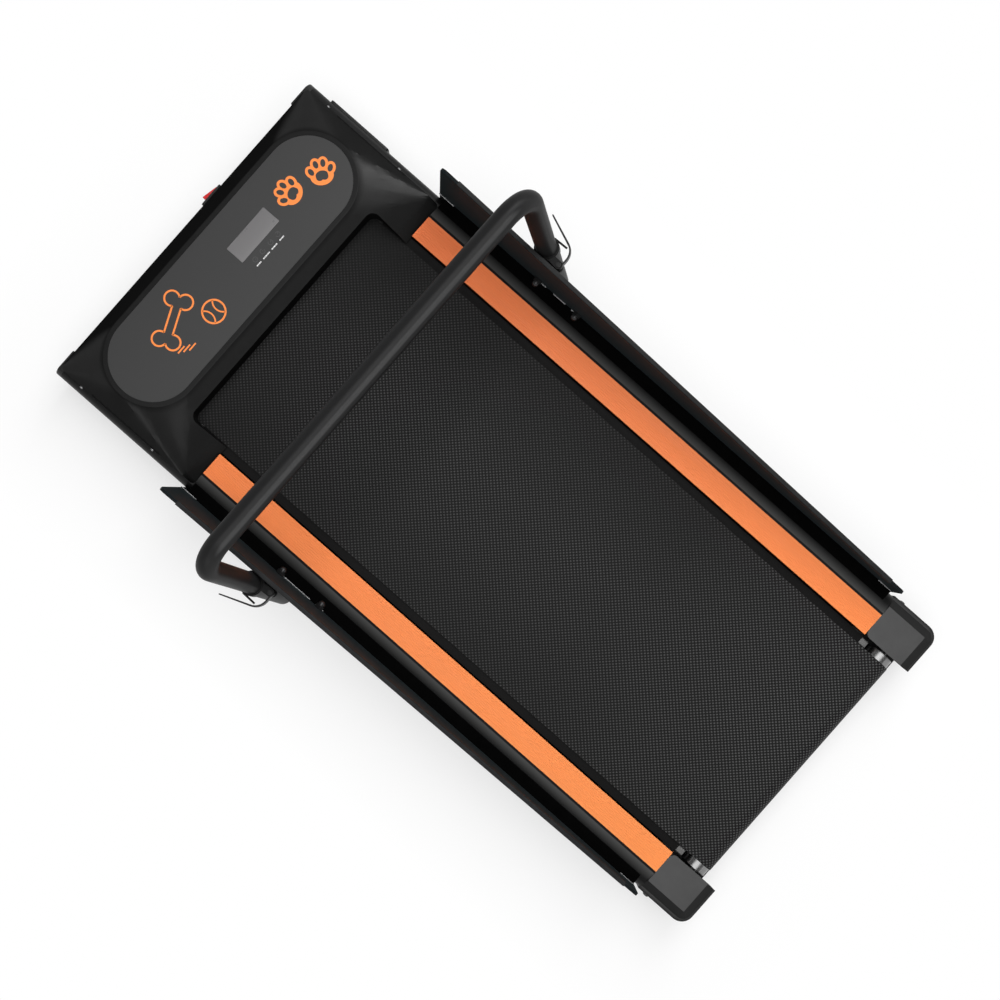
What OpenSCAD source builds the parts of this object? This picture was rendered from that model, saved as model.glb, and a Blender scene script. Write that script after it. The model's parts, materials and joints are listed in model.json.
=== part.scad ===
// Dog treadmill: a belt deck between hollow side rails, a motor hood with a control panel,
// upright side panels and a handle bar that slides in two clamped posts.
// Sizes are in millimetres, +Z is up and +Y points to the motor end.
// The origin lies on the floor under the middle of the machine.

/* [Body] */
// Length from the rear end caps to the front caps
body_len = 1061.5; // [1000:0.5:1120]
// Height of the foot strips above the floor
rail_top = 95; // [93:0.5:100]
// Height of the rubber feet
foot_h = 14; // [10:0.5:16]
// Radius of a rubber foot
foot_r = 18; // [14:0.5:22]
// Width of a side rail
rail_w = 61.5; // [58:0.5:64]
// Wall of the hollow side rail
rail_wall = 2.6; // [2.2:0.1:3.2]
// Radius of the rail's outer shoulder
shoulder_r = 14; // [11:0.5:16]
// Fall of the shoulder below the foot strip
shoulder_fall = 3; // [2:0.25:4]
// Width of a foot strip
strip_w = 32; // [28:1:34]
// Thickness of a foot strip
strip_t = 4; // [3:0.25:5]
// Spacing of the grooves in a foot strip
groove_pitch = 2.9; // [2.5:0.1:4]
// Length of a rear end cap
cap_len = 76; // [70:1:82]
// Wall of a rear end cap
cap_wall = 2.6; // [2.2:0.1:3]
// Distance that an end cap stands out past the rail
cap_proud = 2; // [1:0.1:2.6]
// Width of the bevel along an end cap's top
cap_bevel = 12.5; // [9:0.5:15]
// Radius of an end cap's outer corner, seen from above
cap_r = 16; // [12:0.5:20]
// Thickness of a front cap
front_cap_t = 8.5; // [8:0.5:10]
// Distance that a front cap stands out past the hood
front_cap_proud = 5; // [4:0.5:5.5]

/* [Deck and belt] */
// Width of the running belt
belt_w = 340; // [320:1:360]
// Thickness of the running belt
belt_t = 1.6; // [1.2:0.1:2.2]
// Gap from the belt's edge to the side rail
side_gap = 13; // [12.5:0.5:15]
// Drop of the belt below the foot strips
belt_drop = 7; // [5:0.5:8]
// Radius of the two rollers
roll_r = 17; // [15.5:0.5:18]
// Radius of the roller axles
axle_r = 6; // [5:0.5:7]
// Outer radius of the roller bearings
bearing_r = 13; // [11:0.5:14]
// Width of a roller bearing
bearing_w = 9; // [7:0.5:9.5]
// Distance from the rear end of the caps to the rear roller
rear_roll_set = 38; // [36:0.5:42]
// Distance from the front end to the front roller
front_roll_set = 144.5; // [141.5:0.5:148.5]
// Thickness of the deck board
deck_t = 12; // [9:0.5:14]
// Height of a deck cushion
cushion_h = 8; // [6:0.5:9]
// Thickness of the deck supports
support_t = 4; // [3:0.25:5]
// Width of a cross member under the deck
cross_w = 36; // [28:1:44]

/* [Hood] */
// Height of the hood above its seat on the rails
hood_h = 42; // [38:0.5:50]
// Length of the hood from the front face to the ends of its rear arms
hood_len = 221; // [212:1:230]
// Distance from the hood's front face to the mouth over the belt
mouth_set = 167; // [163:0.5:170]
// Corner radius of the mouth
mouth_r = 11; // [8:0.5:14]
// Height of the upright skirt around the hood
skirt_h = 12; // [9:0.5:14]
// Slope of the arm ends over the height of the skirt
arm_slope = 13; // [9:0.5:15]
// Wall of the hood
hood_wall = 2.5; // [2:0.1:3]
// Length of the raised oval on top
oval_len = 413; // [390:1:424]
// Width of the raised oval on top
oval_w = 124.5; // [114:0.5:130]
// Distance from the hood's front face to the middle of the oval
oval_set = 86; // [82:0.5:90]
// Width of the lip around the control panel
lip_w = 6; // [4:0.1:7]
// Thickness of the control panel
panel_plate_t = 2; // [1.6:0.1:2.4]
// Length of the display window
window_w = 69; // [60:1:76]
// Height of the display window
window_h = 26.5; // [22:0.5:32]
// Distance of the display window to the right of the middle
window_x = 49.6; // [40:0.2:60]

/* [Side panels] */
// Gap between the rail and the side panel
panel_gap = 1.5; // [1.2:0.1:3]
// Thickness of a side panel
panel_t = 3.6; // [3:0.1:5]
// Height of the panel above the foot strips at its front end
rise_front = 134; // [120:1:150]
// Height of the panel above the foot strips at its rear end
rise_rear = 40; // [34:1:60]
// Depth of the panel below the foot strips
panel_drop = 59; // [50:1:66]
// Distance from the front end to the panel
panel_front_set = 215.5; // [208:0.5:222]
// Distance from the rear end to the panel
panel_rear_set = 84.5; // [82:0.5:92]
// Wall of the edge trim on the panel
trim_t = 1.2; // [0.9:0.1:1.6]
// Depth of the edge trim on the panel
trim_h = 9; // [7:0.5:12]

/* [Handle] */
// Radius of the handle tube
tube_r = 12.7; // [11.5:0.1:13.5]
// Wall of the handle tube
tube_wall = 1.5; // [1.2:0.1:2]
// Radius of the handle's bends on the tube's middle line
bend_r = 37; // [30:0.5:50]
// Length from the foot strip level to the handle bar along a leg
leg_rise = 279; // [250:1:310]
// Forward lean of the legs in degrees
lean = 13; // [9:0.5:16]
// Distance from the front end to the legs at foot strip level
post_set = 394; // [384:0.5:412]
// Wall of a post
post_wall = 1.2; // [1.1:0.1:1.8]
// Length of a post below the foot strip level
post_down = 26; // [22:1:30]
// Thickness of a clamp collar
collar_t = 1.4; // [1.2:0.1:2.2]
// Height of a clamp collar
collar_h = 13; // [12:0.5:18]
// Distance that the lever's pin lies behind the leg
pin_back = 25; // [23.5:0.5:28]
// Distance that the lever's pin lies inside the leg
pin_side = 7; // [5:0.5:8]
// Thickness of the lever at its root
lever_t = 2.2; // [1.8:0.1:2.6]
// Radius of the lever's bend
lever_bend = 18; // [16:0.5:20]
// Length of the lever's straight arm
lever_len = 42; // [34:1:48]

/* [Drive] */
// Radius of the motor
motor_r = 32; // [28:0.5:33]
// Length of the motor
motor_len = 130; // [110:1:135]
// Distance from the front roller to the motor
motor_set = 73; // [71:0.5:75]
// Radius of the motor shaft
shaft_r = 5; // [4:0.25:6]
// Radius of the pulley on the front roller
big_pulley_r = 22; // [19.5:0.25:22.5]
// Radius of the pulley on the motor
small_pulley_r = 9; // [8:0.25:10]
// Width of the pulleys
pulley_w = 10; // [8:0.5:10.5]
// Thickness of the drive belt
drive_t = 2.4; // [2:0.1:2.8]
// Radius of a transport wheel
wheel_r = 24; // [20:0.5:25]
// Width of a transport wheel
wheel_w = 18; // [14:0.5:20]

/* [Switch and inlet] */
// Place of the switch to the right of the middle
switch_x = 55; // [48:0.5:62]
// Length of the rocker
rocker_w = 23; // [20:0.5:25]
// Height of the rocker
rocker_h = 14.4; // [13:0.2:15.4]
// Distance from the rocker's pivot to its face
rocker_face = 8; // [7:0.25:9]
// Tilt of the rocker in degrees, raised at its left end
rocker_tilt = 12; // [9:0.5:13]
// Distance that the rocker stands out past the front caps
rocker_proud = 7; // [6:0.5:9]
// Place of the power inlet to the right of the middle
inlet_x = 104; // [98:0.5:115]

/* [Hidden] */
$fn = 48;

// Clearances
run_fit = 0.05;
slide_fit = 0.08;
hole_fit = 0.1;
free_gap = 0.3;

// Widths
x_belt = belt_w / 2;
x_in = x_belt + side_gap;
x_out = x_in + rail_w;
panel_in = x_out + panel_gap;
panel_out = panel_in + panel_t;
cap_out = x_out + cap_proud;

// Lengths
y_rear = -(body_len + rocker_proud) / 2;
y_front = y_rear + body_len;
rail_rear_y = y_rear + cap_len;
rail_front_y = y_front - front_cap_t;
fascia_t = front_cap_t - front_cap_proud;
hood_front_y = rail_front_y + fascia_t;
hood_rear_y = hood_front_y - hood_len;
mouth_y = hood_front_y - mouth_set;
oval_y = hood_front_y - oval_set;
rear_roll_y = y_rear + rear_roll_set;
front_roll_y = y_front - front_roll_set;
motor_y = front_roll_y + motor_set;
support_y0 = rail_rear_y + 18;
support_y1 = front_roll_y - 47;
post_y = y_front - post_set;
panel_rear_y = y_rear + panel_rear_set;
panel_front_y = y_front - panel_front_set;

// Heights
strip_z = rail_top - strip_t;
belt_top = rail_top - belt_drop;
deck_top = belt_top - belt_t;
loop_r = roll_r + free_gap;
roll_z = deck_top - loop_r;
deck_bottom = deck_top - deck_t;
support_top = deck_bottom - cushion_h;
cross_top = support_top - support_t;
cross_bottom = deck_top - 2 * loop_r + 1.6;
hood_top = strip_z + hood_h;
motor_z = roll_z - 3;
pan_z = foot_h + 3;
pan_t = 3;
pan_top = pan_z + pan_t;

// Shoulder of the rail: a line from the foot strip's edge, tangent to the round corner
shoulder_c = [x_out - shoulder_r, rail_top - shoulder_fall - shoulder_r];
shoulder_p = [x_in + strip_w, rail_top];
to_c = shoulder_c - shoulder_p;
slope_dir = atan2(to_c.y, to_c.x) + asin(shoulder_r / norm(to_c));
slope_n = [cos(slope_dir + 90), sin(slope_dir + 90)];

// Top line of the side panels
panel_z0 = rail_top - panel_drop;
top_rear = [panel_rear_y, rail_top + rise_rear];
top_front = [panel_front_y - 5, rail_top + rise_front];
top_slope = atan2(top_front.y - top_rear.y, top_front.x - top_rear.x);
top_len = norm(top_front - top_rear);
function panel_top(y) = top_rear.y + (y - top_rear.x) * tan(top_slope);

// Fasteners
bolt_r = 3;
bolt_z = rail_top - 36;
bolt_rear_y = panel_rear_y + 58;
bolt_post_y = post_y - 88;
bolt_ys = [bolt_rear_y, (bolt_rear_y + bolt_post_y) / 2, bolt_post_y, post_y + 118];
stud_r = 4;
stud_z = rail_top + 9;
stud_ys = [post_y - 53.5, post_y + 11];
foot_x = x_in + rail_w / 2;
foot_ys = [y_rear + 132, (y_rear + y_front) / 2 + 20, y_front - 92];
cap_screw_y = y_rear + 59;
cap_screw_z = roll_z - 4;

// Pulleys and wheels
pulley_x = x_in - 1.5;
wheel_x = x_in - 7;
wheel_y = y_front - 38.5;
wheel_z = wheel_r + 1.5;
wheel_axle_r = 4;
ear_x = wheel_x - wheel_w - 5;
beam_y = y_front - 36.5;
beam_w = 22;
beam_z = 2 * wheel_r + 4;
beam_h = 12;

// Rear roller carriers
carrier_x = x_in + rail_wall;
carrier_t = 4;
tension_x = carrier_x + 13;
tension_r = 3;
flange_y = y_rear + 10;

// Handle and posts
post_r = tube_r + slide_fit + post_wall;
plate_t = 3;
post_x = panel_out + post_r + collar_t + 0.35;
post_up = (panel_top(post_y) - trim_h - 3 - rail_top) / cos(lean);
pin_r = 2;
collar_z = post_up - collar_h - 2;
lever_h = collar_h - 6 - 2 * free_gap;
lever_run = 11;
lever_turn = 68;

// Switch
switch_z = strip_z - 13;
pivot_y = y_front + rocker_proud - rocker_face * cos(rocker_tilt) - rocker_w / 2 * sin(rocker_tilt);
bezel_y = pivot_y + rocker_face * cos(rocker_tilt) - rocker_w / 2 * sin(rocker_tilt) - 1.6;

function unit(v) = v / norm(v);
function half_angle(a, b, c) = acos(unit(a - b) * unit(c - b)) / 2;
function edge_cut(a, b, c, r) = r / tan(half_angle(a, b, c));
function corner_mid(a, b, c, r) = b + unit(unit(a - b) + unit(c - b)) * r / sin(half_angle(a, b, c));

// Convex outline with each corner rounded by its own radius
module rounded(p, r) {
  n = len(p);
  polygon([
    for (i = [0:n - 1])
      let (a = p[(i + n - 1) % n], b = p[i], c = p[(i + 1) % n])
        each (r[i] > 0
          ? [b + unit(a - b) * edge_cut(a, b, c, r[i]), b + unit(c - b) * edge_cut(a, b, c, r[i])]
          : [b])
  ]);
  for (i = [0:n - 1])
    if (r[i] > 0)
      translate(corner_mid(p[(i + n - 1) % n], p[i], p[(i + 1) % n], r[i])) circle(r = r[i]);
}

// Points of corner b between a and c, rounded by r in n steps
function corner_arc(a, b, c, r, n) =
  let (mid = corner_mid(a, b, c, r), start = b + unit(a - b) * edge_cut(a, b, c, r) - mid,
    from = atan2(start.y, start.x))
  arc_points(mid, r, from, from + 180 - 2 * half_angle(a, b, c), n);

// Convex outline with oblique corners, each rounded in short steps
module stepped(p, r) {
  n = len(p);
  polygon([for (i = [0:n - 1]) each corner_arc(p[(i + n - 1) % n], p[i], p[(i + 1) % n], r[i], 12)]);
}

// Rectangle between two corners with its corners rounded
module plate(a, b, r) {
  rounded([a, [b.x, a.y], b, [a.x, b.y]], [r, r, r, r]);
}

// Box between two corners
module box(a, b) {
  translate(a) cube(b - a);
}

// Solid drawn in Y, Z and X, set at x0
module facing_x(x0) {
  translate([x0, 0, 0]) rotate([90, 0, 90]) children();
}

// Outline in Y and Z, drawn out along X
module along_x(x0, x1) {
  facing_x(x0) linear_extrude(x1 - x0) children();
}

// Outline in X and Z, drawn out along Y
module along_y(y0, y1) {
  translate([0, y1, 0]) rotate([90, 0, 0]) linear_extrude(y1 - y0) children();
}

// Outline in X and Y, drawn out along Z
module along_z(z0, z1) {
  translate([0, 0, z0]) linear_extrude(z1 - z0) children();
}

module rod_x(x0, x1, y, z, r) {
  translate([x0, y, z]) rotate([0, 90, 0]) cylinder(r = r, h = x1 - x0);
}

module rod_y(y0, y1, x, z, r) {
  translate([x, y1, z]) rotate([90, 0, 0]) cylinder(r = r, h = y1 - y0);
}

// Bent strip: part of a ring from angle a0 to a1
module ring_part(r0, r1, a0, a1, h) {
  rotate(a0) rotate_extrude(angle = a1 - a0) translate([r0, 0]) square([r1 - r0, h]);
}

module both_sides() {
  children();
  mirror([1, 0, 0]) children();
}

// Frame of the handle's legs, with its Z along them
module leg_frame() {
  translate([0, post_y, rail_top]) rotate([-lean, 0, 0]) children();
}

// Outer outline of the rail with the seat of the foot strip
module rail_outside() {
  polygon([
    [x_in, foot_h], [x_out - 4, foot_h], [x_out, foot_h + 4], [x_out, shoulder_c.y],
    shoulder_c + shoulder_r * slope_n, shoulder_p, [shoulder_p.x, strip_z], [x_in, strip_z]
  ]);
  translate(shoulder_c) circle(r = shoulder_r);
}

// The rail's two chambers, with a web between them
module rail_inside() {
  t = rail_wall;
  web_z = foot_h + 28;
  difference() {
    union() {
      polygon([
        [x_in + t, foot_h + t], [x_out - t - 3, foot_h + t], [x_out - t, foot_h + t + 3],
        [x_out - t, shoulder_c.y], shoulder_c + (shoulder_r - t) * slope_n,
        [shoulder_p.x + t, strip_z - t], [x_in + t, strip_z - t]
      ]);
      translate(shoulder_c) circle(r = shoulder_r - t);
    }
    translate([x_in, web_z]) square([rail_w, 2]);
  }
}

module rail() {
  difference() {
    along_y(rail_rear_y, rail_front_y) difference() {
      rail_outside();
      rail_inside();
    }
    // Seat of the hood
    box([x_in - 1, hood_rear_y, strip_z], [x_out + 1, rail_front_y + 1, rail_top + 1]);
    // Holes for the front axle, the wheel axle, the panel bolts and the feet
    rod_x(x_in - 1, x_in + rail_wall + 1, front_roll_y, roll_z, axle_r + run_fit);
    rod_x(x_in - 1, x_in + rail_wall + 1, wheel_y, wheel_z, wheel_axle_r + run_fit);
    for (y = bolt_ys)
      rod_x(x_out - rail_wall - 1, x_out + 1, y, bolt_z, bolt_r + hole_fit);
    for (y = foot_ys)
      translate([foot_x, y, foot_h - 1]) cylinder(r = stud_r + hole_fit, h = rail_wall + 2);
  }
}

module left_side_rail() {
  color("#2c2d2f") mirror([1, 0, 0]) rail();
}

module right_side_rail() {
  color("#2c2d2f") difference() {
    rail();
    box([x_in - 1, vent_y0 + 8, vent_z0 + 5], [x_out + 1, vent_y1 - 8, vent_z1 - 5]);
  }
}

// Ribbed foot strip lying in the rail's seat
module foot_strip() {
  count = floor((strip_w - 5) / groove_pitch);
  first = (strip_w - (count - 1) * groove_pitch - groove_pitch / 2) / 2;
  along_y(rail_rear_y, hood_rear_y) difference() {
    translate([x_in, strip_z]) square([strip_w, strip_t]);
    for (i = [0:count - 1])
      translate([x_in + first + i * groove_pitch, rail_top - 0.8]) square([groove_pitch / 2, 2]);
  }
}

module left_foot_strip() {
  color("#fb8c50") mirror([1, 0, 0]) foot_strip();
}

module right_foot_strip() {
  color("#fb8c50") foot_strip();
}

// End cap as the common volume of a section, a side view and a plan, each drawn t further in
module cap_form(t) {
  front = rail_rear_y + (t > 0 ? 1 : 0);
  low = foot_h + t;
  top = rail_top - t;
  back = y_rear + t;
  side = cap_out - t;
  fall = cap_bevel * 1.3;
  intersection() {
    along_y(back, front)
      rounded([[x_in + t, low], [side, low], [side, top - fall], [side - cap_bevel, top], [x_in + t, top]],
        [1, 3, 9, 6, 1]);
    along_x(x_in, cap_out)
      rounded([[back, low], [front, low], [front, top], [back + cap_bevel, top], [back, top - fall]],
        [4, 0, 0, 6, 9]);
    along_z(foot_h, rail_top)
      rounded([[x_in + t, back], [side, back], [side, front], [x_in + t, front]],
        [3, cap_r - t, 0, t > 0 ? 0 : 6]);
  }
}

module end_cap() {
  difference() {
    cap_form(0);
    cap_form(cap_wall);
    // Inner side left open below a lip, so that the cap slips over the axle
    along_y(y_rear - 1, rail_rear_y + 1)
      polygon([[x_in - 1, foot_h - 1], [x_in + 13, foot_h - 1], [x_in + cap_wall + 0.4, rail_top - 6],
        [x_in - 1, rail_top - 6]]);
    // Way in for the key of the tension bolt
    rod_y(y_rear - 1, y_rear + cap_wall + 1, tension_x, roll_z, 6);
    rod_x(cap_out - cap_wall - 1, cap_out + 1, cap_screw_y, cap_screw_z, 2 + hole_fit);
    // Shade line along the outer side
    box([cap_out - 0.6, y_rear - 1, rail_top - cap_bevel * 1.3 - 12],
      [cap_out + 1, rail_rear_y + 1, rail_top - cap_bevel * 1.3 - 10.5]);
  }
}

module left_end_cap() {
  color("#505050") mirror([1, 0, 0]) end_cap();
}

module right_end_cap() {
  color("#505050") end_cap();
}

module end_cap_screws() {
  color("#8f9296") both_sides() {
    rod_x(cap_out - cap_wall - 8, cap_out + 0.5, cap_screw_y, cap_screw_z, 2);
    rod_x(cap_out, cap_out + 2.4, cap_screw_y, cap_screw_z, 4);
  }
}

// Cap over the rail's front end, beside the fascia
fascia_x = x_out - 37;

module front_cap() {
  along_y(rail_front_y, y_front) intersection() {
    rail_outside();
    translate([fascia_x, 0]) square([rail_w, strip_z]);
  }
}

module left_front_cap() {
  color("#262626") mirror([1, 0, 0]) front_cap();
}

module right_front_cap() {
  color("#262626") front_cap();
}

// Front face of the motor bay with the cut-outs for the switch and the inlet
module front_fascia() {
  color("#1f1f20") difference() {
    along_y(rail_front_y, hood_front_y)
      rounded([[-fascia_x, pan_top], [fascia_x, pan_top], [fascia_x, strip_z], [-fascia_x, strip_z]],
        [3, 3, 0, 0]);
    box([switch_x - rocker_w / 2 - 3.1, rail_front_y - 1, switch_z - rocker_h / 2 - 3.1],
      [switch_x + rocker_w / 2 + 3.1, hood_front_y + 1, switch_z + rocker_h / 2 + 3.1]);
    box([inlet_x - 13.9, rail_front_y - 1, switch_z - 10],
      [inlet_x + 13.9, hood_front_y + 1, switch_z + 10]);
    // Air slots low in the face
    for (i = [-8:8])
      if (abs(i) > 0)
        box([i * 9 - 2, rail_front_y - 1, pan_top + 8], [i * 9 + 2, hood_front_y + 1, pan_top + 26]);
  }
}

// Flat tubes between the deck supports
module cross_members() {
  color("#3b3d40") for (i = [0:2]) {
    y = support_y0 + 10 + i * (support_y1 - support_y0 - 45) / 2;
    difference() {
      box([-x_in + 3, y - cross_w / 2, cross_bottom], [x_in - 3, y + cross_w / 2, cross_top]);
      box([-x_in, y - cross_w / 2 + 1.5, cross_bottom + 1.5],
        [x_in, y + cross_w / 2 - 1.5, cross_top - 1.5]);
    }
  }
}

// Beam across the motor bay with the ears that carry the transport wheels
module front_cross_member() {
  color("#3b3d40") {
    difference() {
      box([-x_in, beam_y, beam_z], [x_in, beam_y + beam_w, beam_z + beam_h]);
      box([-x_in - 1, beam_y + 2, beam_z + 2], [x_in + 1, beam_y + beam_w - 2, beam_z + beam_h - 2]);
    }
    both_sides() difference() {
      along_x(ear_x, ear_x + 4)
        rounded([[wheel_y - 12, wheel_z - 10], [wheel_y + 12, wheel_z - 10], [wheel_y + 18, beam_z],
          [beam_y, beam_z]], [9, 9, 0, 0]);
      rod_x(ear_x - 1, ear_x + 5, wheel_y, wheel_z, wheel_axle_r + run_fit);
    }
  }
}

// Angles along the rails that carry the deck
module deck_supports() {
  color("#3b3d40") both_sides() along_y(support_y0, support_y1) {
    translate([x_in - 16, cross_top]) square([16, support_t]);
    translate([x_in - 3, cross_bottom]) square([3, support_top - cross_bottom]);
  }
}

module deck_cushions() {
  color("#1a1a1a") both_sides() for (i = [0:4])
    translate([x_in - 8.5, support_y0 + 30 + i * (support_y1 - support_y0 - 69) / 4, support_top])
      rotate_extrude() polygon([[0, 0], [7, 0], [5.5, cushion_h / 2], [7, cushion_h], [0, cushion_h]]);
}

module deck_board() {
  color("#1d1d1e") along_z(deck_bottom, deck_top)
    plate([-x_in + 2, rail_rear_y - 2.5], [x_in - 2, front_roll_y - 42], 3);
}

// Belt loop round both rollers
module loop(r) {
  translate([rear_roll_y, roll_z - r]) square([front_roll_y - rear_roll_y, 2 * r]);
  translate([rear_roll_y, roll_z]) circle(r = r);
  translate([front_roll_y, roll_z]) circle(r = r);
}

module running_belt() {
  color("#262626") along_x(-x_belt, x_belt) difference() {
    loop(loop_r + belt_t);
    loop(loop_r);
  }
}

// Blocks behind the deck that keep the belt in its track
module belt_guides() {
  color("#9a9a98") both_sides()
    along_y(rail_rear_y - 13, rail_rear_y - 2.5)
      plate([x_belt + 0.5, deck_top - 10], [x_in - 3.5, deck_top - 0.3], 1.5);
}

module front_roller() {
  color("#b4b7ba") difference() {
    union() {
      rod_x(-pulley_x, x_in - 5, front_roll_y, roll_z, roll_r);
      rod_x(-pulley_x, -pulley_x + pulley_w, front_roll_y, roll_z, big_pulley_r);
    }
    rod_x(-x_in, x_in, front_roll_y, roll_z, bearing_r + run_fit);
  }
}

module front_axle() {
  color("#8f9296") rod_x(-x_in - 12, x_in + 12, front_roll_y, roll_z, axle_r);
}

module rear_roller() {
  color("#b4b7ba") difference() {
    rod_x(-x_in + 5, x_in - 5, rear_roll_y, roll_z, roll_r);
    rod_x(-x_in, x_in, rear_roll_y, roll_z, bearing_r + run_fit);
  }
}

// Axle drawn back by the tension bolts at its ends
module rear_axle() {
  color("#8f9296") difference() {
    rod_x(-tension_x - 7, tension_x + 7, rear_roll_y, roll_z, axle_r);
    both_sides()
      rod_y(rear_roll_y - axle_r - 1, rear_roll_y + axle_r + 1, tension_x, roll_z, tension_r + run_fit);
  }
}

module bearing(x, y) {
  difference() {
    rod_x(x, x + bearing_w, y, roll_z, bearing_r);
    rod_x(x - 1, x + bearing_w + 1, y, roll_z, axle_r);
    for (e = [x - 1, x + bearing_w - 0.8])
      difference() {
        rod_x(e, e + 1.8, y, roll_z, bearing_r - 1.6);
        rod_x(e - 1, e + 3, y, roll_z, axle_r + 1.8);
      }
  }
}

module roller_bearings() {
  color("#c3c6c9") {
    bearing(-pulley_x + 0.5, front_roll_y);
    bearing(x_in - 5.5 - bearing_w, front_roll_y);
    both_sides() bearing(x_in - 5.5 - bearing_w, rear_roll_y);
  }
}

// Carrier of the rear axle inside the rail and the end cap
module roller_brackets() {
  color("#9a9a98") both_sides() difference() {
    union() {
      along_x(carrier_x, carrier_x + carrier_t)
        plate([flange_y, roll_z - 17], [rail_rear_y + 40, roll_z + 14], 2);
      along_y(flange_y, flange_y + 4)
        plate([carrier_x, roll_z - 17], [carrier_x + 24, roll_z + 14], 2);
      rod_x(carrier_x, cap_out - cap_wall, cap_screw_y, cap_screw_z, 5);
    }
    // Slot that lets the axle move with the belt's tension
    rod_x(carrier_x - 1, carrier_x + carrier_t + 1, rear_roll_y - 6, roll_z, axle_r + hole_fit);
    rod_x(carrier_x - 1, carrier_x + carrier_t + 1, rear_roll_y + 6, roll_z, axle_r + hole_fit);
    box([carrier_x - 1, rear_roll_y - 6, roll_z - axle_r - hole_fit],
      [carrier_x + carrier_t + 1, rear_roll_y + 6, roll_z + axle_r + hole_fit]);
    rod_y(flange_y - 1, flange_y + 5, tension_x, roll_z, tension_r + run_fit);
    rod_x(cap_out - cap_wall - 9, cap_out, cap_screw_y, cap_screw_z, 2);
  }
}

module tension_bolts() {
  color("#8f9296") both_sides() difference() {
    union() {
      rod_y(flange_y - 6, flange_y, tension_x, roll_z, 5);
      rod_y(flange_y - 1, rear_roll_y + 14, tension_x, roll_z, tension_r);
    }
    translate([tension_x, flange_y - 2.5, roll_z]) rotate([90, 0, 0]) cylinder(r = 2.9, h = 5, $fn = 6);
  }
}

motor_x0 = -pulley_x + pulley_w + 20;
motor_x1 = motor_x0 + motor_len;

module motor() {
  color("#3a3c3f") difference() {
    union() {
      rod_x(motor_x0, motor_x0 + 14, motor_y, motor_z, motor_r - 2);
      rod_x(motor_x0 + 14, motor_x1 - 18, motor_y, motor_z, motor_r);
      rod_x(motor_x1 - 18, motor_x1, motor_y, motor_z, motor_r - 2);
      rod_x(motor_x0 - 6, motor_x0 + 1, motor_y, motor_z, shaft_r + 7);
    }
    rod_x(motor_x0 - 7, motor_x1 + 1, motor_y, motor_z, shaft_r + run_fit);
    // Air slots in the end bell
    for (i = [0:7])
      translate([motor_x1 - 9, motor_y, motor_z]) rotate([i * 45, 0, 0])
        box([-4, -3, motor_r - 9], [20, 3, motor_r - 5]);
  }
}

// Shaft with the drive pulley and the cooling fan
module motor_rotor() {
  color("#8f9296") {
    rod_x(-pulley_x - 0.5, motor_x1 + 12, motor_y, motor_z, shaft_r);
    rod_x(-pulley_x, -pulley_x + pulley_w, motor_y, motor_z, small_pulley_r);
    rod_x(motor_x1 + 3, motor_x1 + 6, motor_y, motor_z, motor_r - 3);
    rod_x(motor_x1 + 3, motor_x1 + 12, motor_y, motor_z, shaft_r + 5);
    for (i = [0:8])
      translate([motor_x1 + 3, motor_y, motor_z]) rotate([i * 40, 0, 0])
        box([1, -0.8, shaft_r + 2], [8, 0.8, motor_r - 4]);
  }
}

// Saddle under the motor
module motor_bracket() {
  color("#4a4c4f") difference() {
    union() {
      box([motor_x0 + 12, motor_y - 30, pan_top], [motor_x1 - 16, motor_y + 30, pan_top + 3]);
      for (x = [motor_x0 + 16, motor_x1 - 26])
        box([x, motor_y - 28, pan_top], [x + 6, motor_y + 28, motor_z - motor_r / 2]);
    }
    rod_x(motor_x0, motor_x1, motor_y, motor_z, motor_r);
  }
}

function arc_points(mid, r, a0, a1, n) =
  [for (i = [0:n]) mid + r * [cos(a0 + (a1 - a0) * i / n), sin(a0 + (a1 - a0) * i / n)]];

// Open belt round two pulleys, with straight runs tangent to both
module drive_loop(t) {
  d = [motor_set, motor_z - roll_z];
  r1 = big_pulley_r + t;
  r2 = small_pulley_r + t;
  turn = acos((r1 - r2) / norm(d));
  base = atan2(d.y, d.x);
  translate([front_roll_y, roll_z])
    polygon(concat(arc_points([0, 0], r1, base + turn, base + 360 - turn, 40),
      arc_points(d, r2, base - turn, base + turn, 24)));
}

module drive_belt() {
  color("#151515") along_x(-pulley_x + 0.5, -pulley_x + pulley_w - 0.5) difference() {
    drive_loop(free_gap + 0.05 + drive_t);
    drive_loop(free_gap + 0.05);
  }
}

// Motor controller with its finned heat sink
module control_board() {
  color("#2f5a3c") {
    x0 = 20;
    x1 = 140;
    y0 = front_roll_y + 40;
    y1 = front_roll_y + 98;
    box([x0, y0, pan_top + 8], [x1, y1, pan_top + 9.6]);
    for (x = [x0 + 6, x1 - 6], y = [y0 + 6, y1 - 6])
      translate([x, y, pan_top]) cylinder(r = 3, h = 8.5);
    box([x0 + 30, y0 + 8, pan_top + 9], [x1 - 20, y1 - 8, pan_top + 13]);
    for (i = [0:8])
      box([x0 + 30 + i * 8.2, y0 + 8, pan_top + 12], [x0 + 32.4 + i * 8.2, y1 - 8, pan_top + 30]);
    for (x = [x0 + 10, x0 + 20])
      translate([x, y0 + 16, pan_top + 9]) cylinder(r = 4.4, h = 20);
  }
}

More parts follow.
